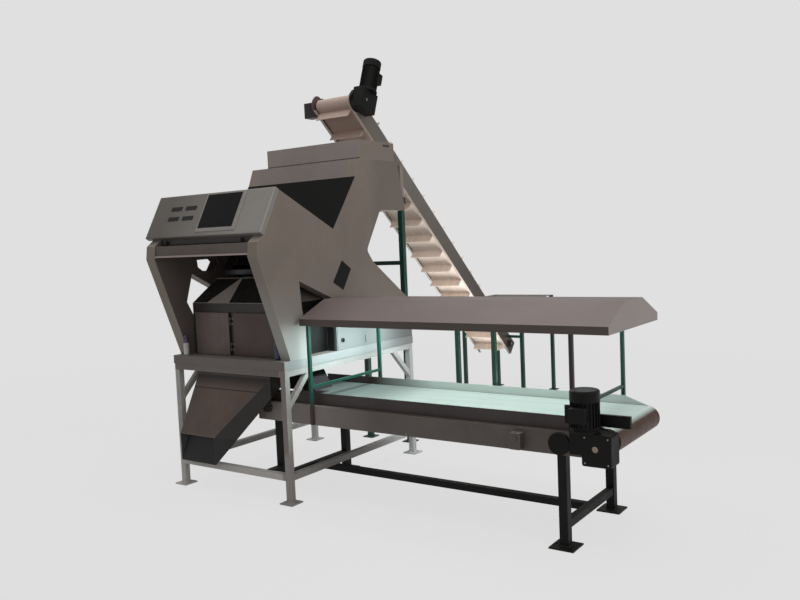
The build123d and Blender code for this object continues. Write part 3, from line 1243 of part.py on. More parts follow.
# Conveyor stand: drive legs and the far tail leg on foot plates; the near tail leg is carried by the
# stand's lower front rail. Crossbars and one stretcher join them.
conveyor_stand = []
tail_leg_x, drive_leg_x = CONVEYOR_LEG_X
near_leg_y, far_leg_y = around(CONVEYOR_Y, CONVEYOR_LEG_HALF)
beam_low = STRETCHER_Z - TUBE / 2
anchor = ((-CONVEYOR_ANCHOR_OFFSET, 0), (CONVEYOR_ANCHOR_OFFSET, 0))
for x, y, size in (
    (drive_leg_x, near_leg_y, CONVEYOR_LEG),
    (drive_leg_x, far_leg_y, CONVEYOR_LEG),
    (tail_leg_x, far_leg_y, CONVEYOR_TAIL_LEG),
):
    leg = tube((x, y, FOOT_THICKNESS), (x, y, FRAME_Z[0]), size)
    conveyor_stand.append(leg + foot_plate(x, y, CONVEYOR_FOOT, anchor))
conveyor_stand.append(
    tube((tail_leg_x, near_leg_y, beam_low), (tail_leg_x, near_leg_y, FRAME_Z[0]), CONVEYOR_TAIL_LEG)
)
arm_ends = (front_y + TUBE / 2, near_leg_y - CONVEYOR_TAIL_LEG / 2)
arm_start = (tail_leg_x, arm_ends[0], LOWER_RAIL_HEIGHT)
conveyor_stand.append(tube(arm_start, (tail_leg_x, arm_ends[1], LOWER_RAIL_HEIGHT), CONVEYOR_TAIL_LEG))
for x, size in zip(CONVEYOR_LEG_X, (CONVEYOR_TAIL_LEG, CONVEYOR_LEG)):
    ends = inset((near_leg_y, far_leg_y), size / 2)
    conveyor_stand.append(tube((x, ends[0], STRETCHER_Z), (x, ends[1], STRETCHER_Z), TUBE))
stretch = inset(CONVEYOR_LEG_X, TUBE / 2)
conveyor_stand.append(tube((stretch[0], CONVEYOR_Y, STRETCHER_Z), (stretch[1], CONVEYOR_Y, STRETCHER_Z), TUBE))
nodes["conveyor_stand"] = group(conveyor_stand)

# Canopy: a folded roof with end plates, on four posts held against the outside of the side frames
post_half = FRAME_HALF + POST_SIZE / 2
canopy_half = FRAME_HALF + POST_SIZE + SHEET
roof_line = [
    (CONVEYOR_Y - canopy_half, CANOPY_LIP_Z[0]),
    (CONVEYOR_Y - canopy_half, CANOPY_LIP_Z[1]),
    (CONVEYOR_Y - CANOPY_TOP_HALF, CANOPY_TOP_Z),
    (CONVEYOR_Y + CANOPY_TOP_HALF, CANOPY_TOP_Z),
    (CONVEYOR_Y + canopy_half, CANOPY_LIP_Z[1]),
    (CONVEYOR_Y + canopy_half, CANOPY_LIP_Z[0]),
]
canopy = side_prism(bent_sheet(roof_line, -SHEET), CANOPY_X)
for end in ((CANOPY_X[0], CANOPY_X[0] + SHEET), (CANOPY_X[1] - SHEET, CANOPY_X[1])):
    canopy += side_prism(roof_line, end)
nodes["canopy"] = canopy

canopy_frame = []
post_top = CANOPY_LIP_Z[1] - SHEET
for x in POST_X:
    for y in around(CONVEYOR_Y, post_half):
        seated = x > BRACKET_X[0] and y < CONVEYOR_Y
        low = BRACKET_SEAT[1] if seated else FRAME_Z[0] + 5
        canopy_frame.append(tube((x, y, low), (x, y, post_top), POST_SIZE, 2.0))
    ends = around(CONVEYOR_Y, post_half - POST_SIZE / 2)
    canopy_frame.append(tube((x, ends[0], POST_BAR_Z), (x, ends[1], POST_BAR_Z), 20.0, 2.0))
nodes["canopy_frame"] = group(canopy_frame)

if __name__ == "__main__":
    os.makedirs("parts", exist_ok=True)
    for name, shape in nodes.items():
        export_step(shape, f"parts/{name}.step")
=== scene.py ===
import math
import bmesh
import bpy
from mathutils import Matrix, Vector


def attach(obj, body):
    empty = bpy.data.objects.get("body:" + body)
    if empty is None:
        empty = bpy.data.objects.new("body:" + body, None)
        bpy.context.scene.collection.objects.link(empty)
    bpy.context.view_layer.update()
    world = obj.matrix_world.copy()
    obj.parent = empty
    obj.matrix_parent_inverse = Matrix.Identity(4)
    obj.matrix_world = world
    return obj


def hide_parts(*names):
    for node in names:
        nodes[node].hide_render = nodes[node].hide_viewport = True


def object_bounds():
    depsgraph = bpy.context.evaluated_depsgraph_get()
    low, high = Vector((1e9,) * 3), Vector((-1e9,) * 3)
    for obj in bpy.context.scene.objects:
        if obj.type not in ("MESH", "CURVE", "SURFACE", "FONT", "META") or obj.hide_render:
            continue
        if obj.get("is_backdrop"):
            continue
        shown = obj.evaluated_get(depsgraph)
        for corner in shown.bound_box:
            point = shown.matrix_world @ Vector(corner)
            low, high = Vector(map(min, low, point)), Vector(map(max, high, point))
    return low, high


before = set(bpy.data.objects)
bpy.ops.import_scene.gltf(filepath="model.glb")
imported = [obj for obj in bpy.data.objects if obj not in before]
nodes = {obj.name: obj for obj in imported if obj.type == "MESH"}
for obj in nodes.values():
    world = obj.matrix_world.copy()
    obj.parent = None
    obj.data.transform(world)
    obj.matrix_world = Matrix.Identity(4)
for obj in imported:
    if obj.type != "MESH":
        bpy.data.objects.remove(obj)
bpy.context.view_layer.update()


# Sorter stand: square steel tube legs and rails under a folded base tray.
# Everything is welded and coated in the same warm grey; the coat has thin spots, runs and dust.


def tone(red, green, blue):
    """Shader colour from the display values that the surface shows in plain light."""
    linear = []
    for value in (red, green, blue):
        share = value / 255
        linear.append(share / 12.92 if share <= 0.04045 else ((share + 0.055) / 1.055) ** 2.4)
    return (*linear, 1.0)


def put(tree, kind, inputs=None, **settings):
    """Shader node with its settings and inputs; an input that is a socket gets a link."""
    made = tree.nodes.new("ShaderNode" + kind)
    for key, value in settings.items():
        setattr(made, key, value)
    for key, value in (inputs or {}).items():
        if isinstance(value, bpy.types.NodeSocket):
            tree.links.new(value, made.inputs[key])
        else:
            made.inputs[key].default_value = value
    return made


def mixed(tree, factor, first, second, blend="MIX"):
    """Colour between two colours."""
    made = put(tree, "Mix", {0: factor, 6: first, 7: second}, data_type="RGBA", blend_type=blend)
    return made.outputs[2]


def ranged(tree, value, low, high, to_low=0.0, to_high=1.0):
    """Value moved from one range to another and held inside it."""
    inputs = {"Value": value, "From Min": low, "From Max": high, "To Min": to_low, "To Max": to_high}
    return put(tree, "MapRange", inputs).outputs["Result"]


def sums(tree, operation, first, second):
    """Plain arithmetic on two values."""
    return put(tree, "Math", {0: first, 1: second}, operation=operation).outputs[0]


def shader_group(name, inputs, outputs):
    """Empty shader group with inputs (name, kind, value) and outputs (name, kind)."""
    group = bpy.data.node_groups.new(name, "ShaderNodeTree")
    for label, kind, value in inputs:
        socket = group.interface.new_socket(label, in_out="INPUT", socket_type="NodeSocket" + kind)
        socket.default_value = value
    for label, kind in outputs:
        group.interface.new_socket(label, in_out="OUTPUT", socket_type="NodeSocket" + kind)
    return group, group.nodes.new("NodeGroupInput").outputs, group.nodes.new("NodeGroupOutput").inputs


coat_finish, given, told = shader_group(
    "coat_finish",
    [
        ("Coat", "Color", (0.2, 0.2, 0.2, 1)),
        ("Stain", "Color", (0.15, 0.15, 0.15, 1)),
        ("Edge", "Color", (0.3, 0.3, 0.3, 1)),
        ("Cloud Scale", "Float", 1.7),
        ("Streaks", "Float", 0.3),
        ("Dust", "Float", 0.25),
        ("Gloss Floor", "Float", 0.38),
    ],
    [("Colour", "Color"), ("Roughness", "Float"), ("Height", "Float")],
)
place = put(coat_finish, "TexCoord").outputs
clouds = put(coat_finish, "TexNoise", {
    "Vector": place["Object"], "Scale": given["Cloud Scale"], "Detail": 5.0, "Roughness": 0.6,
}).outputs["Fac"]
runs_map = put(coat_finish, "Mapping", {"Vector": place["Object"], "Scale": (9.0, 9.0, 0.7)}).outputs[0]
runs = put(coat_finish, "TexNoise", {"Vector": runs_map, "Scale": 2.2, "Detail": 4.0}).outputs["Fac"]
speck_inputs = {"Vector": place["Object"], "Scale": 85.0, "Detail": 2.0}
specks = put(coat_finish, "TexNoise", speck_inputs).outputs["Fac"]
stained = mixed(coat_finish, ranged(coat_finish, clouds, 0.36, 0.72), given["Coat"], given["Stain"])
run_mask = sums(coat_finish, "MULTIPLY", ranged(coat_finish, runs, 0.5, 0.75), given["Streaks"])
streaked = mixed(coat_finish, run_mask, stained, given["Stain"])
upward = put(coat_finish, "SeparateXYZ", {0: place["Normal"]}).outputs["Z"]
dust_spread = sums(coat_finish, "MULTIPLY", ranged(coat_finish, clouds, 0.3, 0.7), given["Dust"])
dust_mask = sums(coat_finish, "MULTIPLY", dust_spread, ranged(coat_finish, upward, 0.35, 0.95))
dusty = mixed(coat_finish, dust_mask, streaked, (0.36, 0.33, 0.29, 1))
# Edges turn towards the Edge colour in specks: partly paint wear, partly a painted highlight on the
# rounded edges.
soft_normal = put(coat_finish, "Bevel", {"Radius": 0.005}, samples=4).outputs[0]
flat_normal = put(coat_finish, "NewGeometry").outputs["Normal"]
both_normals = {0: soft_normal, 1: flat_normal}
turn = put(coat_finish, "VectorMath", both_normals, operation="DOT_PRODUCT").outputs["Value"]
edge_wear_and_highlight_specks = ranged(coat_finish, specks, 0.3, 0.6)
edge_wear_and_highlight_mask = sums(coat_finish, "MULTIPLY", ranged(coat_finish, turn, 0.985, 0.88), edge_wear_and_highlight_specks)
coat_finish.links.new(mixed(coat_finish, edge_wear_and_highlight_mask, dusty, given["Edge"]), told["Colour"])
rough = sums(coat_finish, "ADD", given["Gloss Floor"], ranged(coat_finish, clouds, 0.3, 0.75, 0.0, 0.2))
dust_rough = sums(coat_finish, "MULTIPLY", dust_mask, 0.3)
coat_finish.links.new(sums(coat_finish, "ADD", rough, dust_rough), told["Roughness"])
dent_inputs = {"Vector": place["Object"], "Scale": 3.1, "Detail": 1.0}
dents = put(coat_finish, "TexNoise", dent_inputs).outputs["Fac"]
peel_inputs = {"Vector": place["Object"], "Scale": 420.0, "Detail": 1.0}
peel = put(coat_finish, "TexNoise", peel_inputs).outputs["Fac"]
peel_height = sums(coat_finish, "MULTIPLY", peel, 0.035)
coat_finish.links.new(sums(coat_finish, "ADD", dents, peel_height), told["Height"])


def finished(name, group, values, strength, depth):
    """Material whose colour, roughness and relief come from a finish group."""
    material = bpy.data.materials.new(name)
    material.use_nodes = True
    tree = material.node_tree
    shader = tree.nodes["Principled BSDF"]
    finish = put(tree, "Group", node_tree=group)
    for key, value in values.items():
        finish.inputs[key].default_value = value
    bump = put(tree, "Bump", {"Strength": strength, "Distance": depth, "Height": finish.outputs["Height"]})
    tree.links.new(finish.outputs["Colour"], shader.inputs["Base Color"])
    tree.links.new(finish.outputs["Roughness"], shader.inputs["Roughness"])
    tree.links.new(bump.outputs["Normal"], shader.inputs["Normal"])
    return material


def sheen(material, level):
    """How strongly the surface mirrors light at its front."""
    material.node_tree.nodes["Principled BSDF"].inputs["Specular IOR Level"].default_value = level


def coated(name, coat, stain, edge, cloud=1.7, streaks=0.3, dust=0.25, gloss=0.38, dent=0.004):
    """Coated sheet or tube: stained coat, edges brightened partly as wear and partly as painted highlight,
    shallow dents and a fine peel.
    """
    values = {
        "Coat": tone(*coat), "Stain": tone(*stain), "Edge": tone(*edge), "Cloud Scale": cloud,
        "Streaks": streaks, "Dust": dust, "Gloss Floor": gloss,
    }
    material = finished(name, coat_finish, values, 0.35, dent)
    sheen(material, 0.4)
    return material


def zone(tree, limits):
    """Mask of the surface inside some limits: (Object or Normal, axis, value outside, value inside)."""
    place = put(tree, "TexCoord").outputs
    mask = 1.0
    for source, axis, outside, inside in limits:
        value = put(tree, "SeparateXYZ", {0: place[source]}).outputs[axis]
        mask = sums(tree, "MULTIPLY", ranged(tree, value, outside, inside), mask)
    return mask


def tint(material, colour, share, *limits):
    """Another colour over a share of the coat, on one zone of the surface."""
    tree = material.node_tree
    base = tree.nodes["Principled BSDF"].inputs["Base Color"]
    mask = sums(tree, "MULTIPLY", zone(tree, limits), share)
    tree.links.new(mixed(tree, mask, base.links[0].from_socket, tone(*colour)), base)


def dress(material, *names):
    """The named solids wear the material."""
    for name in names:
        nodes[name].data.materials.clear()
        nodes[name].data.materials.append(material)


def new_piece(name, mesh, body, material):
    """Finished mesh as a named piece that moves with a body."""
    data = bpy.data.meshes.new(name)
    mesh.to_mesh(data)
    mesh.free()
    made = bpy.data.objects.new(name, data)
    bpy.context.scene.collection.objects.link(made)
    data.materials.append(material)
    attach(made, body)
    return made


def ease(mesh, offset):
    """All edges rounded a little, as on folded or moulded stock."""
    bmesh.ops.bevel(
        mesh, geom=mesh.edges[:], offset=offset, segments=2, affect="EDGES", profile=0.5, material=-1
    )


def add_bar(mesh, size, centre):
    """Square-cut bar or plate, upright in the frame."""
    bar = bmesh.ops.create_cube(mesh, size=1.0)["verts"]
    bmesh.ops.scale(mesh, vec=size, verts=bar)
    bmesh.ops.translate(mesh, vec=centre, verts=bar)


def foot_welds(name, spots, half, material):
    """Fillet welds round the legs where they meet their foot plates."""
    mesh = bmesh.new()
    plate_top = 0.010
    bead = 0.008
    square_on = Matrix.Rotation(math.radians(45), 4, "Z")
    for x, y in spots:
        turned = Matrix.Translation((x, y, plate_top + bead / 2)) @ square_on
        bmesh.ops.create_cone(
            mesh, cap_ends=True, segments=4, radius1=(half + 0.007) * 2 ** 0.5,
            radius2=(half + 0.001) * 2 ** 0.5, depth=bead, matrix=turned,
        )
    ease(mesh, 0.0015)
    new_piece(name, mesh, "machine", material)


stand_coat = coated("stand_coat", (166, 163, 160), (146, 141, 137), (200, 197, 194), cloud=2.6, dust=0.35)
# Painted shade and painted light by zone: darker front face and foot of the front right leg, darker top
# front rail, lighter low front, slightly darker low down except on the left legs, lighter rear legs.
shaded_front_leg = (("Object", "X", 0.57, 0.58), ("Object", "Y", -0.81, -0.82), ("Normal", "Y", -0.7, -0.9))
tint(stand_coat, (118, 110, 106), 0.9, *shaded_front_leg)
shaded_front_foot = (("Object", "X", 0.45, 0.56), ("Object", "Y", -0.70, -0.80), ("Object", "Z", 0.42, 0.30))
tint(stand_coat, (98, 86, 82), 0.9, *shaded_front_foot)
tint(stand_coat, (150, 146, 143), 0.8, ("Object", "X", -0.58, -0.50), ("Object", "Z", 0.42, 0.36))
lit_low_front = (("Object", "X", 0.56, 0.55), ("Object", "Y", -0.80, -0.83), ("Object", "Z", 0.42, 0.36))
tint(stand_coat, (190, 186, 182), 0.8, *lit_low_front)
shaded_top_front = (("Object", "Y", -0.80, -0.83), ("Object", "Z", 0.985, 0.999), ("Object", "X", 0.575, 0.570))
tint(stand_coat, (96, 88, 85), 0.9, *shaded_top_front)
tint(stand_coat, (212, 213, 212), 0.8, ("Object", "Y", 0.30, 0.60))
dress(stand_coat, "stand_legs", "stand_rails")
base_coat = coated("base_coat", (138, 130, 126), (116, 108, 103), (172, 166, 161), cloud=2.0, dust=0.4)
# Painted shade on the front faces and a painted pale cool light on the right side faces.
tint(base_coat, (100, 92, 88), 0.9, ("Normal", "Y", -0.8, -0.95))
tint(base_coat, (150, 156, 157), 0.7, ("Normal", "X", 0.8, 0.95))
dress(base_coat, "base_tray")
stand_legs_at = [(x, y) for x in (-0.609, 0.609) for y in (-0.85, 0.85)]
foot_welds("stand_foot_welds", stand_legs_at, 0.025, stand_coat)

plug_size = (0.0024, 0.048, 0.048)
top_rail_z = 1.02
mesh = bmesh.new()
for x in (-0.6346, 0.6346):
    for y in (-0.85, 0.85):
        add_bar(mesh, plug_size, (x, y, top_rail_z))
ease(mesh, 0.001)
new_piece("rail_end_plugs", mesh, "machine", stand_coat)


# Side housings: folded sheet pans in the shape of an X, with inner liners, a hinged access door and
# its lock. The outside is satin warm grey; the liners wear the same coat painted darker, as painted shade.
housing_coat = coated(
    "housing_coat", (134, 123, 114), (118, 108, 99), (170, 160, 151), cloud=1.1, streaks=0.18
)
dress(housing_coat, "left_side_housing", "right_side_housing", "side_access_door")
# Painted shade and painted light by zone: near-black notch flanges, dark heel flanges, a cool lamp light
# beside the door, a pale light on the toe and a darker rear arm.
shaded_notch_flange = (("Normal", "Y", -0.75, -0.79), ("Normal", "Z", 0.54, 0.57))
tint(housing_coat, (9, 9, 9), 1.0, *shaded_notch_flange)
shaded_heel_flange = (("Normal", "Y", -0.9, -0.97), ("Object", "Z", 1.56, 1.54), ("Object", "Y", -0.30, -0.26))
tint(housing_coat, (32, 29, 28), 1.0, *shaded_heel_flange)
lamp_lit_door_zone = (("Object", "X", 0.60, 0.62), ("Object", "Y", -0.26, -0.24), ("Object", "Z", 1.46, 1.36))
tint(housing_coat, (124, 132, 134), 0.7, *lamp_lit_door_zone)
lit_toe_zone = (("Object", "X", 0.35, 0.50), ("Object", "Y", -0.30, -0.45), ("Object", "Z", 1.75, 1.18))
tint(housing_coat, (176, 184, 184), 0.5, *lit_toe_zone)
shaded_rear_arm = (("Object", "X", 0.60, 0.62), ("Object", "Y", 0.28, 0.45), ("Object", "Z", 1.95, 2.10))
tint(housing_coat, (112, 101, 93), 0.8, *shaded_rear_arm)
liner_coat = coated("liner_coat", (108, 98, 93), (90, 81, 77), (136, 128, 122), cloud=1.4, dust=0.15)
dress(liner_coat, "housing_liners")

moulded_skin, given, told = shader_group(
    "moulded_skin",
    [
        ("Plastic", "Color", (0.05, 0.05, 0.05, 1)),
        ("Rubbed", "Color", (0.1, 0.1, 0.1, 1)),
        ("Gloss Floor", "Float", 0.3),
    ],
    [("Colour", "Color"), ("Roughness", "Float"), ("Height", "Float")],
)
place = put(moulded_skin, "TexCoord").outputs
rub_inputs = {"Vector": place["Object"], "Scale": 14.0, "Detail": 6.0}
rubs = put(moulded_skin, "TexNoise", rub_inputs).outputs["Fac"]
grain = put(moulded_skin, "TexVoronoi", {"Vector": place["Object"], "Scale": 900.0}).outputs["Distance"]
rub_mask = ranged(moulded_skin, rubs, 0.42, 0.75)
moulded_skin.links.new(mixed(moulded_skin, rub_mask, given["Plastic"], given["Rubbed"]), told["Colour"])
rub_rough = sums(moulded_skin, "MULTIPLY", rub_mask, 0.25)
moulded_skin.links.new(sums(moulded_skin, "ADD", given["Gloss Floor"], rub_rough), told["Roughness"])
moulded_skin.links.new(grain, told["Height"])


def moulded(name, plastic, rubbed, gloss=0.35, depth=0.0003):
    """Moulded plastic with a fine grain and paler rubbed spots."""
    values = {"Plastic": tone(*plastic), "Rubbed": tone(*rubbed), "Gloss Floor": gloss}
    return finished(name, moulded_skin, values, 0.4, depth)


knob_black = moulded("knob_black", (34, 33, 32), (58, 56, 54))
dress(knob_black, "side_door_lock", "left_panel_latch", "right_panel_latch")


# Viewing windows: dark smoked panes, one in each side housing and two on the front slope of the
# sorting hood. Polished sheet, slightly smeared by hands and dust.
pane_smoked = moulded("pane_smoked", (12, 11, 10), (16, 15, 14), gloss=0.22, depth=0.0)
sheen(pane_smoked, 0.14)
tint(pane_smoked, (34, 33, 31), 1.0, ("Object", "X", 0.60, 0.58), ("Object", "X", -0.60, -0.58))
dress(pane_smoked, "viewing_windows")


# Notch cover and rear optical box: dark sheet between the panel and the feeder.
# Matt dark coat that keeps stray light away from the cameras, made near black as painted shade of the
# recess.
dark_coat = coated("dark_coat", (15, 15, 15), (12, 12, 12), (34, 33, 32), cloud=2.2, dust=0.04, gloss=0.62)
sheen(dark_coat, 0.1)
dress(dark_coat, "notch_cover", "rear_optical_box")

# Thin dark laps over the notch flanges: a dark sheet laid there as painted shade of the recess.
lap_low = Vector((0, -0.2095, 2.1265))
lap_high = Vector((0, 0.1175, 2.5715))
lap_run = lap_high - lap_low
lap_out = Vector((0, -0.8056, 0.5925))
lap_axes = Matrix((Vector((1, 0, 0)), lap_run.normalized(), lap_out)).transposed().to_4x4()
lap_size = (0.1055, lap_run.length - 0.004, 0.0016)
mesh = bmesh.new()
for x in (-0.5805, 0.5805):
    lap = bmesh.ops.create_cube(mesh, size=1.0)["verts"]
    bmesh.ops.scale(mesh, vec=lap_size, verts=lap)
    centre = (lap_low + lap_high) / 2 + lap_out * 0.0012 + Vector((x, 0, 0))
    bmesh.ops.transform(mesh, matrix=Matrix.Translation(centre) @ lap_axes, verts=lap)
ease(mesh, 0.0005)
new_piece("notch_cover_laps", mesh, "machine", dark_coat)


# Front optical box and control cabinet: the cross plate under the panel with its folded lip, and the
# wall behind. Coated like the housings but painted darker as the panel's shade, with a painted highlight
# along the lip.
cross_coat = coated("cross_coat", (94, 85, 79), (80, 71, 65), (130, 122, 116), cloud=2.4, dust=0.2)
# Painted highlight along the lower lip of the cross plate.
tint(cross_coat, (168, 154, 150), 0.9, ("Object", "Z", 1.966, 1.963), ("Object", "Y", -1.05, -1.08))
dress(cross_coat, "front_optical_box")
cabinet_coat = coated("cabinet_coat", (56, 50, 46), (46, 41, 38), (98, 90, 84), cloud=2.4, dust=0.2)
dress(cabinet_coat, "control_cabinet")


# Control panel: a lid with rolled edges, cut for the screen and four keys, hinged at its top.
# Light satin coat; the keys are dark moulded caps.
panel_coat = coated(
    "panel_coat", (142, 138, 134), (130, 125, 120), (184, 180, 175), cloud=1.8, streaks=0.12, gloss=0.33
)
# Painted shade: the panel face darkens towards its left.
tint(panel_coat, (88, 84, 78), 0.85, ("Object", "X", 0.40, -0.50))
dress(panel_coat, "control_panel")
key_black = moulded("key_black", (17, 15, 14), (26, 23, 21), gloss=0.6)
dress(key_black, "upper_left_key", "upper_right_key", "lower_left_key", "lower_right_key")
bezel_grey = moulded("bezel_grey", (134, 130, 126), (150, 146, 141), gloss=0.42)
dress(bezel_grey, "touch_screen")

panel_lean = math.radians(28.8)
panel_up = Vector((0, math.sin(panel_lean), math.cos(panel_lean)))
panel_out = Vector((0, -math.cos(panel_lean), math.sin(panel_lean)))
panel_foot = Vector((0, -1.065, 2.114))
glass_centre = panel_foot + Vector((0.123, 0, 0)) + panel_up * 0.215 + panel_out * 0.0037
panel_turn = Matrix((Vector((1, 0, 0)), panel_up, panel_out)).transposed().to_4x4()
glass_size = (0.387, 0.303, 0.0012)
mesh = bmesh.new()
add_bar(mesh, glass_size, (0, 0, 0))
ease(mesh, 0.0004)
bmesh.ops.transform(mesh, matrix=Matrix.Translation(glass_centre) @ panel_turn, verts=mesh.verts)
screen_dark = moulded("screen_dark", (11, 12, 12), (14, 15, 15), gloss=0.22, depth=0.0)
sheen(screen_dark, 0.14)
new_piece("screen_glass", mesh, "panel", screen_dark)


# Feeding: hopper, feeder hood, feed gate, vibrating tray and ribbed chute.
# The hopper and hood are coated sheet; what the product touches is bare ground steel.
hopper_coat = coated(
    "hopper_coat", (152, 142, 138), (136, 126, 122), (188, 180, 175), cloud=1.5, streaks=0.2
)
# Painted shade on the hopper's right side and a painted shadow line along the front's lower edge.
tint(hopper_coat, (126, 114, 106), 0.9, ("Normal", "X", 0.6, 0.9))
tint(hopper_coat, (48, 42, 40), 0.9, ("Normal", "Y", -0.8, -0.9), ("Object", "Z", 2.741, 2.736))
dress(hopper_coat, "hopper")
# The feeder hood wears a darker copy of the hopper coat, as painted shade.
hood_grey = coated("hood_grey", (130, 119, 115), (116, 106, 102), (166, 157, 151), cloud=1.5, streaks=0.2)
dress(hood_grey, "feeder_hood")

ground_steel, given, told = shader_group(
    "ground_steel",
    [
        ("Steel", "Color", (0.5, 0.5, 0.5, 1)),
        ("Tarnish", "Color", (0.3, 0.28, 0.26, 1)),
        ("Grain Stretch", "Vector", (60.0, 4.0, 60.0)),
        ("Gloss Floor", "Float", 0.28),
    ],
    [("Colour", "Color"), ("Roughness", "Float"), ("Height", "Float")],
)
place = put(ground_steel, "TexCoord").outputs
stretch_inputs = {0: place["Object"], 1: given["Grain Stretch"]}
stretched = put(ground_steel, "VectorMath", stretch_inputs, operation="MULTIPLY").outputs[0]
lines = put(ground_steel, "TexNoise", {"Vector": stretched, "Scale": 8.0, "Detail": 4.0}).outputs["Fac"]
blot_inputs = {"Vector": place["Object"], "Scale": 6.0, "Detail": 5.0}
blots = put(ground_steel, "TexNoise", blot_inputs).outputs["Fac"]
blot_mask = ranged(ground_steel, blots, 0.45, 0.8)
ground_steel.links.new(mixed(ground_steel, blot_mask, given["Steel"], given["Tarnish"]), told["Colour"])
line_rough = ranged(ground_steel, lines, 0.3, 0.7, 0.0, 0.25)
ground_steel.links.new(sums(ground_steel, "ADD", given["Gloss Floor"], line_rough), told["Roughness"])
ground_steel.links.new(lines, told["Height"])


def ground(name, steel, tarnish, stretch=(60.0, 4.0, 60.0), gloss=0.28):
    """Bare ground metal with grain lines and dull blots."""
    values = {
        "Steel": tone(*steel), "Tarnish": tone(*tarnish), "Grain Stretch": stretch, "Gloss Floor": gloss,
    }
    material = finished(name, ground_steel, values, 0.2, 0.0004)
    material.node_tree.nodes["Principled BSDF"].inputs["Metallic"].default_value = 1.0
    return material


chute_steel = ground("chute_steel", (168, 165, 160), (128, 122, 116))
dress(chute_steel, "feed_chute", "feeder_tray", "feed_gate")
side_bar_size = (0.006, 0.088, 0.016)
side_bar_at = (0.637, 0.588, 2.86)
mesh = bmesh.new()
add_bar(mesh, side_bar_size, side_bar_at)
ease(mesh, 0.002)
new_piece("hopper_side_bar", mesh, "machine", knob_black)
shaker_black = coated("shaker_black", (40, 40, 39), (32, 31, 30), (70, 68, 66), cloud=6.0, dust=0.3)
dress(shaker_black, "feeder_vibrators")


# Inspection cameras, lamp tubes and the ejector manifold: alloy bodies and opal tubes.
# The tubes glow a cool greenish white over the belt and inside the sorting space.
alloy_blasted = ground(
    "alloy_blasted", (150, 151, 152), (120, 120, 120), stretch=(40.0, 40.0, 40.0), gloss=0.42
)
dress(alloy_blasted, "inspection_cameras", "ejector_manifold")
lamp_opal = bpy.data.materials.new("lamp_opal")
lamp_opal.use_nodes = True
tree = lamp_opal.node_tree
shader = tree.nodes["Principled BSDF"]
object_place = put(tree, "TexCoord").outputs["Object"]
patches = put(tree, "TexNoise", {"Vector": object_place, "Scale": 22.0, "Detail": 3.0}).outputs["Fac"]
opal = mixed(tree, ranged(tree, patches, 0.35, 0.7), tone(226, 240, 234), tone(206, 222, 216))
tree.links.new(opal, shader.inputs["Base Color"])
tree.links.new(opal, shader.inputs["Emission Color"])
tree.links.new(ranged(tree, patches, 0.3, 0.7, 0.2, 0.34), shader.inputs["Roughness"])
shader.inputs["Emission Strength"].default_value = 0.6
dress(lamp_opal, "lamp_tubes")


# Sorting hood, collection doors and chutes: brown-grey sheet under the optical boxes, painted dark in
# shade.
# The product rubs the coat, so it is patchy; its lighter edges are partly wear and partly painted
# highlight.
hood_coat = coated("hood_coat", (156, 146, 138), (136, 127, 120), (180, 172, 165), cloud=2.6, dust=0.3)
# Painted shade: near black on the right faces, dark on the left and front faces.
tint(hood_coat, (5, 5, 5), 1.0, ("Normal", "X", 0.6, 0.9))
tint(hood_coat, (40, 35, 33), 1.0, ("Normal", "X", -0.6, -0.9))
tint(hood_coat, (50, 45, 43), 1.0, ("Normal", "Y", -0.9, -0.97))
dress(hood_coat, "sorting_hood")
door_coat = coated(
    "door_coat", (108, 96, 92), (90, 78, 74), (132, 120, 115), cloud=4.0, streaks=0.5, dust=0.1
)
# Painted shade: one door darker and reddish, and a dark strip on the doors along the gap between them.
tint(door_coat, (68, 52, 50), 0.85, ("Object", "X", -0.060, -0.056))
tint(door_coat, (38, 35, 34), 1.0, ("Object", "X", -0.090, -0.084), ("Object", "X", -0.028, -0.034))
dress(door_coat, "left_collection_door", "right_collection_door")
chute_coat = coated(
    "chute_coat", (98, 82, 74), (78, 66, 60), (128, 114, 106), cloud=2.8, streaks=0.5, dust=0.2
)
# Painted shade: dark right side, dark inside the mouth and on its lip, a darker collar top and a painted
# shadow line under the collar.
tint(chute_coat, (36, 31, 29), 1.0, ("Normal", "X", 0.10, 0.18), ("Normal", "Z", 0.22, 0.12))
tint(chute_coat, (34, 31, 30), 1.0, ("Normal", "Z", 0.5, 0.6))
tint(chute_coat, (18, 17, 17), 1.0, ("Object", "Z", 0.468, 0.458), ("Normal", "Y", -0.2, -0.3))
tint(chute_coat, (46, 37, 35), 0.85, ("Object", "Z", 0.865, 0.935))
tint(chute_coat, (34, 29, 27), 0.9, ("Object", "Z", 0.843, 0.846), ("Object", "Z", 0.855, 0.852))
dress(chute_coat, "reject_chute")
# The accept chute is painted near black as painted shade.
accept_coat = coated(
    "accept_coat", (30, 25, 27), (24, 20, 21), (52, 46, 46), cloud=3.2, streaks=0.5, dust=0.1
)
sheen(accept_coat, 0.15)
dress(accept_coat, "accept_chute")


# Rear cover: one folded sheet from the feeder hood round the waist to the base, held by pan-head
# screws. Same coat as the housings; the screws are plated.
dress(housing_coat, "rear_cover")
screw_steel = ground("screw_steel", (150, 146, 140), (112, 106, 100), stretch=(90.0, 90.0, 90.0))


def screw_heads(name, rows, radius, sides, material):
    """Rows of screw or bolt heads; a row is (start, end, count, outward direction)."""
    mesh = bmesh.new()
    for start, end, count, outward in rows:
        start, end, outward = Vector(start), Vector(end), Vector(outward).normalized()
        turn = outward.to_track_quat("Z", "Y").to_matrix().to_4x4()
        for i in range(count):
            spot = start.lerp(end, i / max(count - 1, 1)) + outward * radius * 0.3
            bmesh.ops.create_cone(
                mesh, cap_ends=True, segments=sides, radius1=radius, radius2=radius * 0.8,
                depth=radius * 0.6, matrix=Matrix.Translation(spot) @ turn,
            )
    new_piece(name, mesh, "machine", material)


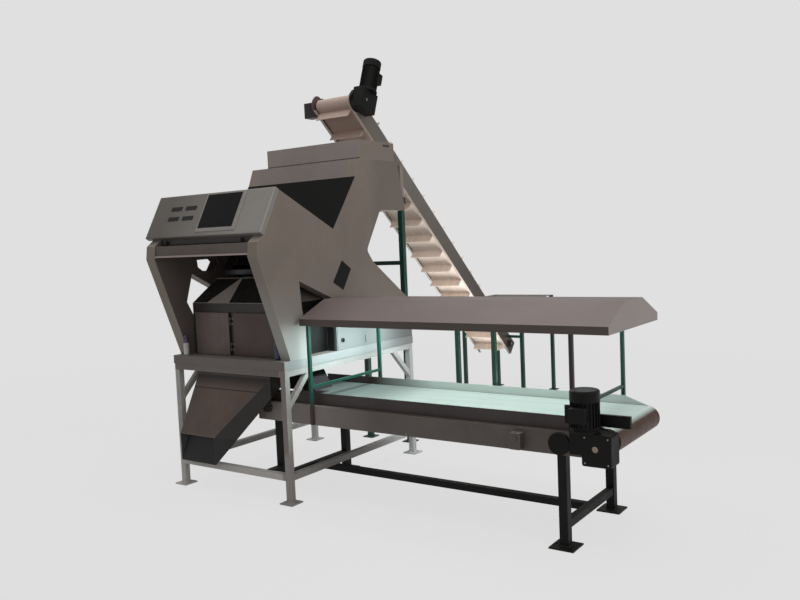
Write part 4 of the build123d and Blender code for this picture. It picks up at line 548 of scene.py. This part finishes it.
heel_out = (0, 0.571, 0.821)
screw_heads(
    "rear_cover_screws",
    [
        ((-0.50, 0.395, 1.785), (-0.50, 0.83, 1.482), 4, heel_out),
        ((0.50, 0.395, 1.785), (0.50, 0.83, 1.482), 4, heel_out),
        ((-0.50, 0.88, 1.40), (-0.50, 0.88, 1.15), 3, (0, 1, 0)),
        ((0.50, 0.88, 1.40), (0.50, 0.88, 1.15), 3, (0, 1, 0)),
        ((-0.25, 0.88, 1.15), (0.25, 0.88, 1.15), 3, (0, 1, 0)),
    ],
    0.007, 12, screw_steel,
)


# Air filters on the base beside the doors: turned bowl, threaded head and setting knob.
# The left bowl is milky, the right one dark blue; heads and knobs are dark moulded plastic.
bowl_plastic = bpy.data.materials.new("bowl_plastic")
bowl_plastic.use_nodes = True
tree = bowl_plastic.node_tree
shader = tree.nodes["Principled BSDF"]
object_place = put(tree, "TexCoord").outputs["Object"]
axes = put(tree, "SeparateXYZ", {0: object_place}).outputs
right_side = ranged(tree, axes["X"], -0.1, 0.1)
head_share = ranged(tree, axes["Z"], 1.222, 1.226)
bowl_colour = mixed(tree, right_side, tone(186, 184, 182), tone(40, 46, 66))
head_colour = mixed(tree, right_side, tone(72, 58, 84), tone(50, 49, 50))
drips = put(tree, "TexNoise", {"Vector": object_place, "Scale": 60.0, "Detail": 4.0}).outputs["Fac"]
bowl_mix = mixed(tree, head_share, bowl_colour, head_colour)
dripped = mixed(tree, ranged(tree, drips, 0.5, 0.9), bowl_mix, tone(96, 88, 84))
tree.links.new(dripped, shader.inputs["Base Color"])
tree.links.new(ranged(tree, drips, 0.3, 0.7, 0.16, 0.4), shader.inputs["Roughness"])
mesh = bmesh.new()
filter_line = [
    (0.0, 0.0), (0.012, 0.0), (0.0125, 0.004), (0.019, 0.007), (0.0225, 0.016), (0.023, 0.100),
    (0.0205, 0.104), (0.0205, 0.108), (0.0235, 0.111), (0.0235, 0.146), (0.0215, 0.150),
    (0.0145, 0.151), (0.016, 0.154), (0.016, 0.171), (0.014, 0.175), (0.0, 0.175),
]
for x, y in ((-0.503, -0.852), (0.503, -0.81)):
    line = [mesh.verts.new((x + r, y, 1.115 + z)) for r, z in filter_line]
    edges = [mesh.edges.new(pair) for pair in zip(line, line[1:])]
    bmesh.ops.spin(
        mesh, geom=line + edges, cent=(x, y, 0), axis=(0, 0, 1), angle=math.tau, steps=28, use_merge=True
    )
bmesh.ops.remove_doubles(mesh, verts=mesh.verts, dist=0.00005)
bmesh.ops.recalc_face_normals(mesh, faces=mesh.faces)
filters = new_piece("air_filter_units", mesh, "machine", bowl_plastic)
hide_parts("air_filters")


# Feed elevator: sloping side frames with a slider bed and a cleated belt between two drums.
# Coated frames, a smooth cream belt with welded cleats, and a black worm drive at the head.
elevator_coat = coated(
    "elevator_coat", (120, 113, 106), (102, 95, 89), (158, 150, 142), cloud=1.6, streaks=0.15
)
# Painted shade, reddish, high on the left web; painted shade on the lower right-facing faces; painted
# light on the down-facing flanges.
tint(elevator_coat, (92, 66, 64), 0.9, ("Object", "X", -0.10, -0.112), ("Object", "Z", 3.18, 3.24))
tint(elevator_coat, (66, 58, 53), 0.85, ("Normal", "X", 0.8, 0.9), ("Object", "Z", 2.6, 1.6))
tint(elevator_coat, (214, 202, 194), 0.8, ("Normal", "Z", -0.5, -0.7))
dress(elevator_coat, "elevator_frame", "infeed_hopper")

belt_cover, given, told = shader_group(
    "belt_cover",
    [
        ("Cover", "Color", (0.6, 0.6, 0.6, 1)),
        ("Soil", "Color", (0.4, 0.35, 0.3, 1)),
        ("Run Stretch", "Vector", (0.6, 9.0, 4.0)),
        ("Soiling", "Float", 0.5),
    ],
    [("Colour", "Color"), ("Roughness", "Float"), ("Height", "Float")],
)
place = put(belt_cover, "TexCoord").outputs
run_inputs = {0: place["Object"], 1: given["Run Stretch"]}
run_place = put(belt_cover, "VectorMath", run_inputs, operation="MULTIPLY").outputs[0]
tracks = put(belt_cover, "TexNoise", {"Vector": run_place, "Scale": 2.5, "Detail": 5.0}).outputs["Fac"]
weave = put(belt_cover, "TexVoronoi", {"Vector": place["Object"], "Scale": 700.0}).outputs["Distance"]
soil_mask = sums(belt_cover, "MULTIPLY", ranged(belt_cover, tracks, 0.42, 0.75), given["Soiling"])
belt_cover.links.new(mixed(belt_cover, soil_mask, given["Cover"], given["Soil"]), told["Colour"])
belt_cover.links.new(ranged(belt_cover, tracks, 0.3, 0.7, 0.42, 0.62), told["Roughness"])
belt_cover.links.new(weave, told["Height"])


def belting(name, cover, soil, stretch, soiling):
    """Belt cover with a fine fabric print and soil tracks along the run."""
    values = {"Cover": tone(*cover), "Soil": tone(*soil), "Run Stretch": stretch, "Soiling": soiling}
    return finished(name, belt_cover, values, 0.3, 0.0004)


cream_belt = belting("cream_belt", (238, 224, 213), (214, 195, 182), (9.0, 0.7, 0.7), 0.6)
# Painted shade on the belt just under the head drum.
tint(cream_belt, (164, 138, 124), 0.8, ("Object", "Z", 2.90, 3.05))
dress(cream_belt, "elevator_belt")
drum_steel = ground("drum_steel", (158, 154, 148), (116, 110, 104), stretch=(4.0, 60.0, 60.0))
dress(drum_steel, "elevator_head_drum", "elevator_tail_drum")
black_gloss = coated(
    "black_gloss", (15, 15, 14), (12, 12, 11), (34, 33, 32), cloud=5.0, dust=0.05, gloss=0.42, dent=0.001
)
sheen(black_gloss, 0.16)
dress(black_gloss, "elevator_gearbox", "elevator_motor")
bearing_iron = coated(
    "bearing_iron", (50, 43, 41), (38, 34, 33), (84, 76, 72), cloud=8.0, dust=0.2, gloss=0.45
)
dress(bearing_iron, "drum_bearings")
leg_green = coated(
    "leg_green", (12, 66, 54), (10, 52, 43), (42, 98, 84), cloud=3.0, dust=0.15, gloss=0.34
)
tint(leg_green, (140, 131, 123), 1.0, ("Object", "Z", 2.395, 2.405))
dress(leg_green, "elevator_legs")
front_leg_at = (0.346, 1.2)
mesh = bmesh.new()
for low, high, half in ((2.362, 2.428, 0.036), (2.372, 2.382, 0.041), (2.408, 2.418, 0.041)):
    add_bar(mesh, (2 * half, 2 * half, high - low), (*front_leg_at, (low + high) / 2))
ease(mesh, 0.003)
clamp_brown = coated("clamp_brown", (62, 48, 44), (48, 38, 35), (96, 82, 76), cloud=8.0, dust=0.1)
new_piece("elevator_leg_clamp", mesh, "machine", clamp_brown)
elevator_legs_at = [(x, y) for x in (-0.148, 0.346) for y in (1.2, 3.004)]
foot_welds("elevator_foot_welds", elevator_legs_at, 0.025, leg_green)


# Inspection conveyor: channel side frames with tall guards, a pale belt on a slider bed, and end drums.
# The belt is pale mint, painted browner as shade where it turns under the drums and darker towards its
# left end.
frame_coat = coated("frame_coat", (92, 83, 79), (78, 70, 66), (130, 120, 115), cloud=1.8, streaks=0.25)
# Painted light: the side frames paler towards their left end.
tint(frame_coat, (138, 130, 126), 0.8, ("Object", "X", 1.35, 0.75))
dress(frame_coat, "conveyor_side_frames", "switch_box")
guard_coat = coated("guard_coat", (58, 50, 48), (46, 40, 38), (96, 88, 83), cloud=2.4, streaks=0.3)
# The guards' coat is dark; the far guard's inner face gets a painted pale mint light, growing to the
# right.
tint(guard_coat, (196, 208, 203), 0.9, ("Object", "Y", -0.30, -0.20), ("Object", "X", 0.75, 1.35))
dress(guard_coat, "conveyor_guards")
dress(chute_steel, "conveyor_bed")
mint_belt = belting("mint_belt", (208, 224, 219), (186, 199, 194), (0.5, 8.0, 4.0), 0.5)
# Painted shade: the belt darker towards its left end.
tint(mint_belt, (74, 80, 77), 0.85, ("Object", "X", 1.40, 0.80))
# Painted shade: the belt browner where its faces turn away from the top.
tree = mint_belt.node_tree
shader = tree.nodes["Principled BSDF"]
top_colour = shader.inputs["Base Color"].links[0].from_socket
facing = put(tree, "SeparateXYZ", {0: put(tree, "TexCoord").outputs["Normal"]}).outputs["Z"]
shaded_turn_colour = mixed(tree, ranged(tree, facing, 0.98, 0.70), top_colour, tone(70, 43, 28))
tree.links.new(shaded_turn_colour, shader.inputs["Base Color"])
dress(mint_belt, "conveyor_belt")
drum_steel_across = ground("drum_steel_across", (146, 134, 120), (104, 92, 80))
dress(drum_steel_across, "conveyor_drive_drum", "conveyor_tail_drum", "return_roller")


# Conveyor drive and stand: worm gearbox, upright motor, bar and cover, and black legs with wide feet.
# Everything here is semi-gloss black over cast or welded steel, dusty on top.
dress(black_gloss, "conveyor_gearbox", "conveyor_motor", "drive_bracket")
screw_heads(
    "drive_bolts",
    [
        ((3.051, -0.880, 0.624), (3.197, -0.880, 0.624), 2, (0, -1, 0)),
        ((3.051, -0.880, 0.780), (3.197, -0.880, 0.780), 2, (0, -1, 0)),
        ((0.284, -0.722, 0.672), (0.284, -0.722, 0.748), 2, (0, -1, 0)),
        ((0.246, -0.722, 0.710), (0.322, -0.722, 0.710), 2, (0, -1, 0)),
        ((0.246, 0.182, 0.710), (0.322, 0.182, 0.710), 2, (0, 1, 0)),
        ((3.076, 0.182, 0.710), (3.152, 0.182, 0.710), 2, (0, 1, 0)),
    ],
    0.0065, 6, screw_steel,
)
stand_black = coated(
    "stand_black", (17, 18, 17), (13, 14, 13), (36, 36, 35), cloud=3.0, dust=0.08, gloss=0.42
)
sheen(stand_black, 0.16)
dress(stand_black, "conveyor_stand")
foot_welds("conveyor_foot_welds", [(2.824, -0.68), (2.824, 0.14)], 0.03, stand_black)


# Canopy: a folded roof with end plates over the belt, on slim posts with crossbars.
# The roof has the housings' coat, the posts are dark green.
canopy_coat = coated(
    "canopy_coat", (117, 104, 102), (103, 91, 89), (154, 143, 137), cloud=0.9, streaks=0.15, dust=0.15
)
# Painted shade on the front lip and painted light on the right end plates.
tint(canopy_coat, (66, 57, 54), 0.9, ("Normal", "Y", -0.85, -0.95))
tint(canopy_coat, (158, 148, 144), 0.8, ("Normal", "X", 0.85, 0.95))
dress(canopy_coat, "canopy")
post_green = coated(
    "post_green", (12, 74, 61), (9, 58, 48), (36, 104, 90), cloud=4.0, dust=0.15, gloss=0.34
)
# Painted shade: the right front post dark brown and the left front post darker low down.
tint(post_green, (40, 31, 29), 1.0, ("Object", "X", 2.80, 2.82), ("Object", "Y", -0.60, -0.65))
shaded_post_foot = (("Object", "X", 0.90, 0.85), ("Object", "Y", -0.60, -0.65), ("Object", "Z", 0.80, 0.78))
tint(post_green, (62, 50, 47), 1.0, *shaded_post_foot)
dress(post_green, "canopy_frame")


# Stage: a pale floor that fades into the backdrop, a large overhead light, two fills, a bounce behind
# the sorter and two lamps for the canopy's own light. The camera stands where the photograph was
# taken, to the right of the front and a little above the belt.
backdrop = tone(224, 224, 224)
mesh = bmesh.new()
bmesh.ops.create_grid(mesh, x_segments=1, y_segments=1, size=60.0)
floor_data = bpy.data.meshes.new("floor")
mesh.to_mesh(floor_data)
mesh.free()
floor = bpy.data.objects.new("floor", floor_data)
bpy.context.scene.collection.objects.link(floor)
floor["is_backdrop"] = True
floor_pale = bpy.data.materials.new("floor_pale")
floor_pale.use_nodes = True
tree = floor_pale.node_tree
shader = tree.nodes["Principled BSDF"]
shader.inputs["Base Color"].default_value = tone(196, 196, 196)
shader.inputs["Roughness"].default_value = 0.9
rays = put(tree, "LightPath").outputs
seen = sums(tree, "MAXIMUM", rays["Is Camera Ray"], rays["Is Glossy Ray"])
floor_place = put(tree, "TexCoord").outputs["Object"]
away = put(tree, "VectorMath", {0: floor_place}, operation="LENGTH").outputs["Value"]
fade_start, fade_end = 3.5, 9.0
shown = sums(tree, "MULTIPLY", seen, ranged(tree, away, fade_start, fade_end, 0.86, 1.0))
glow_strength = ranged(tree, away, fade_start, fade_end, 1.06, 1.0)
glow = put(tree, "Emission", {"Color": backdrop, "Strength": glow_strength})
floor_mix = put(tree, "MixShader", {0: shown, 1: shader.outputs[0], 2: glow.outputs[0]})
tree.links.new(floor_mix.outputs[0], tree.nodes["Material Output"].inputs["Surface"])
floor_data.materials.append(floor_pale)

world = bpy.data.worlds.new("studio")
bpy.context.scene.world = world
world.use_nodes = True
tree = world.node_tree
ambient = tree.nodes["Background"]
ambient.inputs["Color"].default_value = (1.0, 1.0, 1.0, 1.0)
ambient.inputs["Strength"].default_value = 0.42
screen_back = put(tree, "Background", {"Color": backdrop, "Strength": 1.0})
rays = put(tree, "LightPath").outputs
seen = sums(tree, "MAXIMUM", rays["Is Camera Ray"], rays["Is Transmission Ray"])
world_mix = put(tree, "MixShader", {0: seen, 1: ambient.outputs[0], 2: screen_back.outputs[0]})
tree.links.new(world_mix.outputs[0], tree.nodes["World Output"].inputs["Surface"])

for name, spot, aim, size, power, spread, colour in (
    ("overhead", (1.0, 0.5, 7.5), (1.0, 0.2, 0.0), (8.0, 8.0), 260.0, 180, (1.0, 0.99, 0.97)),
    ("front_fill", (3.5, -7.5, 4.5), (0.8, 0.0, 1.6), (4.0, 4.0), 32.0, 180, (1.0, 0.98, 0.96)),
    ("right_fill", (8.0, -1.5, 4.0), (0.6, 0.0, 1.5), (4.0, 4.0), 85.0, 180, (1.0, 0.99, 0.97)),
    ("yard_bounce", (0.5, 2.3, 0.12), (0.2, 1.7, 2.2), (1.6, 1.6), 30.0, 120, (1.0, 0.98, 0.96)),
    ("canopy_light", (1.85, -0.27, 1.50), (1.85, -0.27, 0.0), (2.2, 0.25), 9.0, 180, (0.88, 1.0, 0.97)),
    ("canopy_spill", (1.02, -0.14, 1.34), (0.634, -0.16, 1.05), (1.3, 0.12), 5.2, 110, (0.79, 0.98, 0.99)),
):
    lamp = bpy.data.lights.new(name, "AREA")
    lamp.shape = "RECTANGLE"
    lamp.size, lamp.size_y = size
    lamp.energy = power
    lamp.color = colour
    lamp.spread = math.radians(spread)
    holder = bpy.data.objects.new(name, lamp)
    bpy.context.scene.collection.objects.link(holder)
    holder.visible_camera = False
    holder.location = spot
    holder.rotation_euler = (Vector(aim) - Vector(spot)).to_track_quat("-Z", "Y").to_euler()

yaw, pitch, roll = (math.radians(a) for a in (34.98, -4.07, -2.45))
level_right = Vector((math.cos(yaw), math.sin(yaw), 0))
level_forward = Vector((-math.sin(yaw), math.cos(yaw), 0))
forward = level_forward * math.cos(pitch) + Vector((0, 0, math.sin(pitch)))
level_up = level_right.cross(forward)
camera_right = level_right * math.cos(roll) + level_up * math.sin(roll)
camera_up = level_up * math.cos(roll) - level_right * math.sin(roll)
camera_data = bpy.data.cameras.new("camera")
camera_data.sensor_width = 36.0
camera_data.lens = 36.96
camera = bpy.data.objects.new("camera", camera_data)
bpy.context.scene.collection.objects.link(camera)
camera_axes = Matrix((camera_right, camera_up, -forward)).transposed().to_4x4()
eye = (4.958, -5.473, 2.0)
camera.matrix_world = Matrix.Translation(eye) @ camera_axes
bpy.context.scene.camera = camera
bpy.context.scene.view_settings.view_transform = "Standard"

low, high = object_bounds()
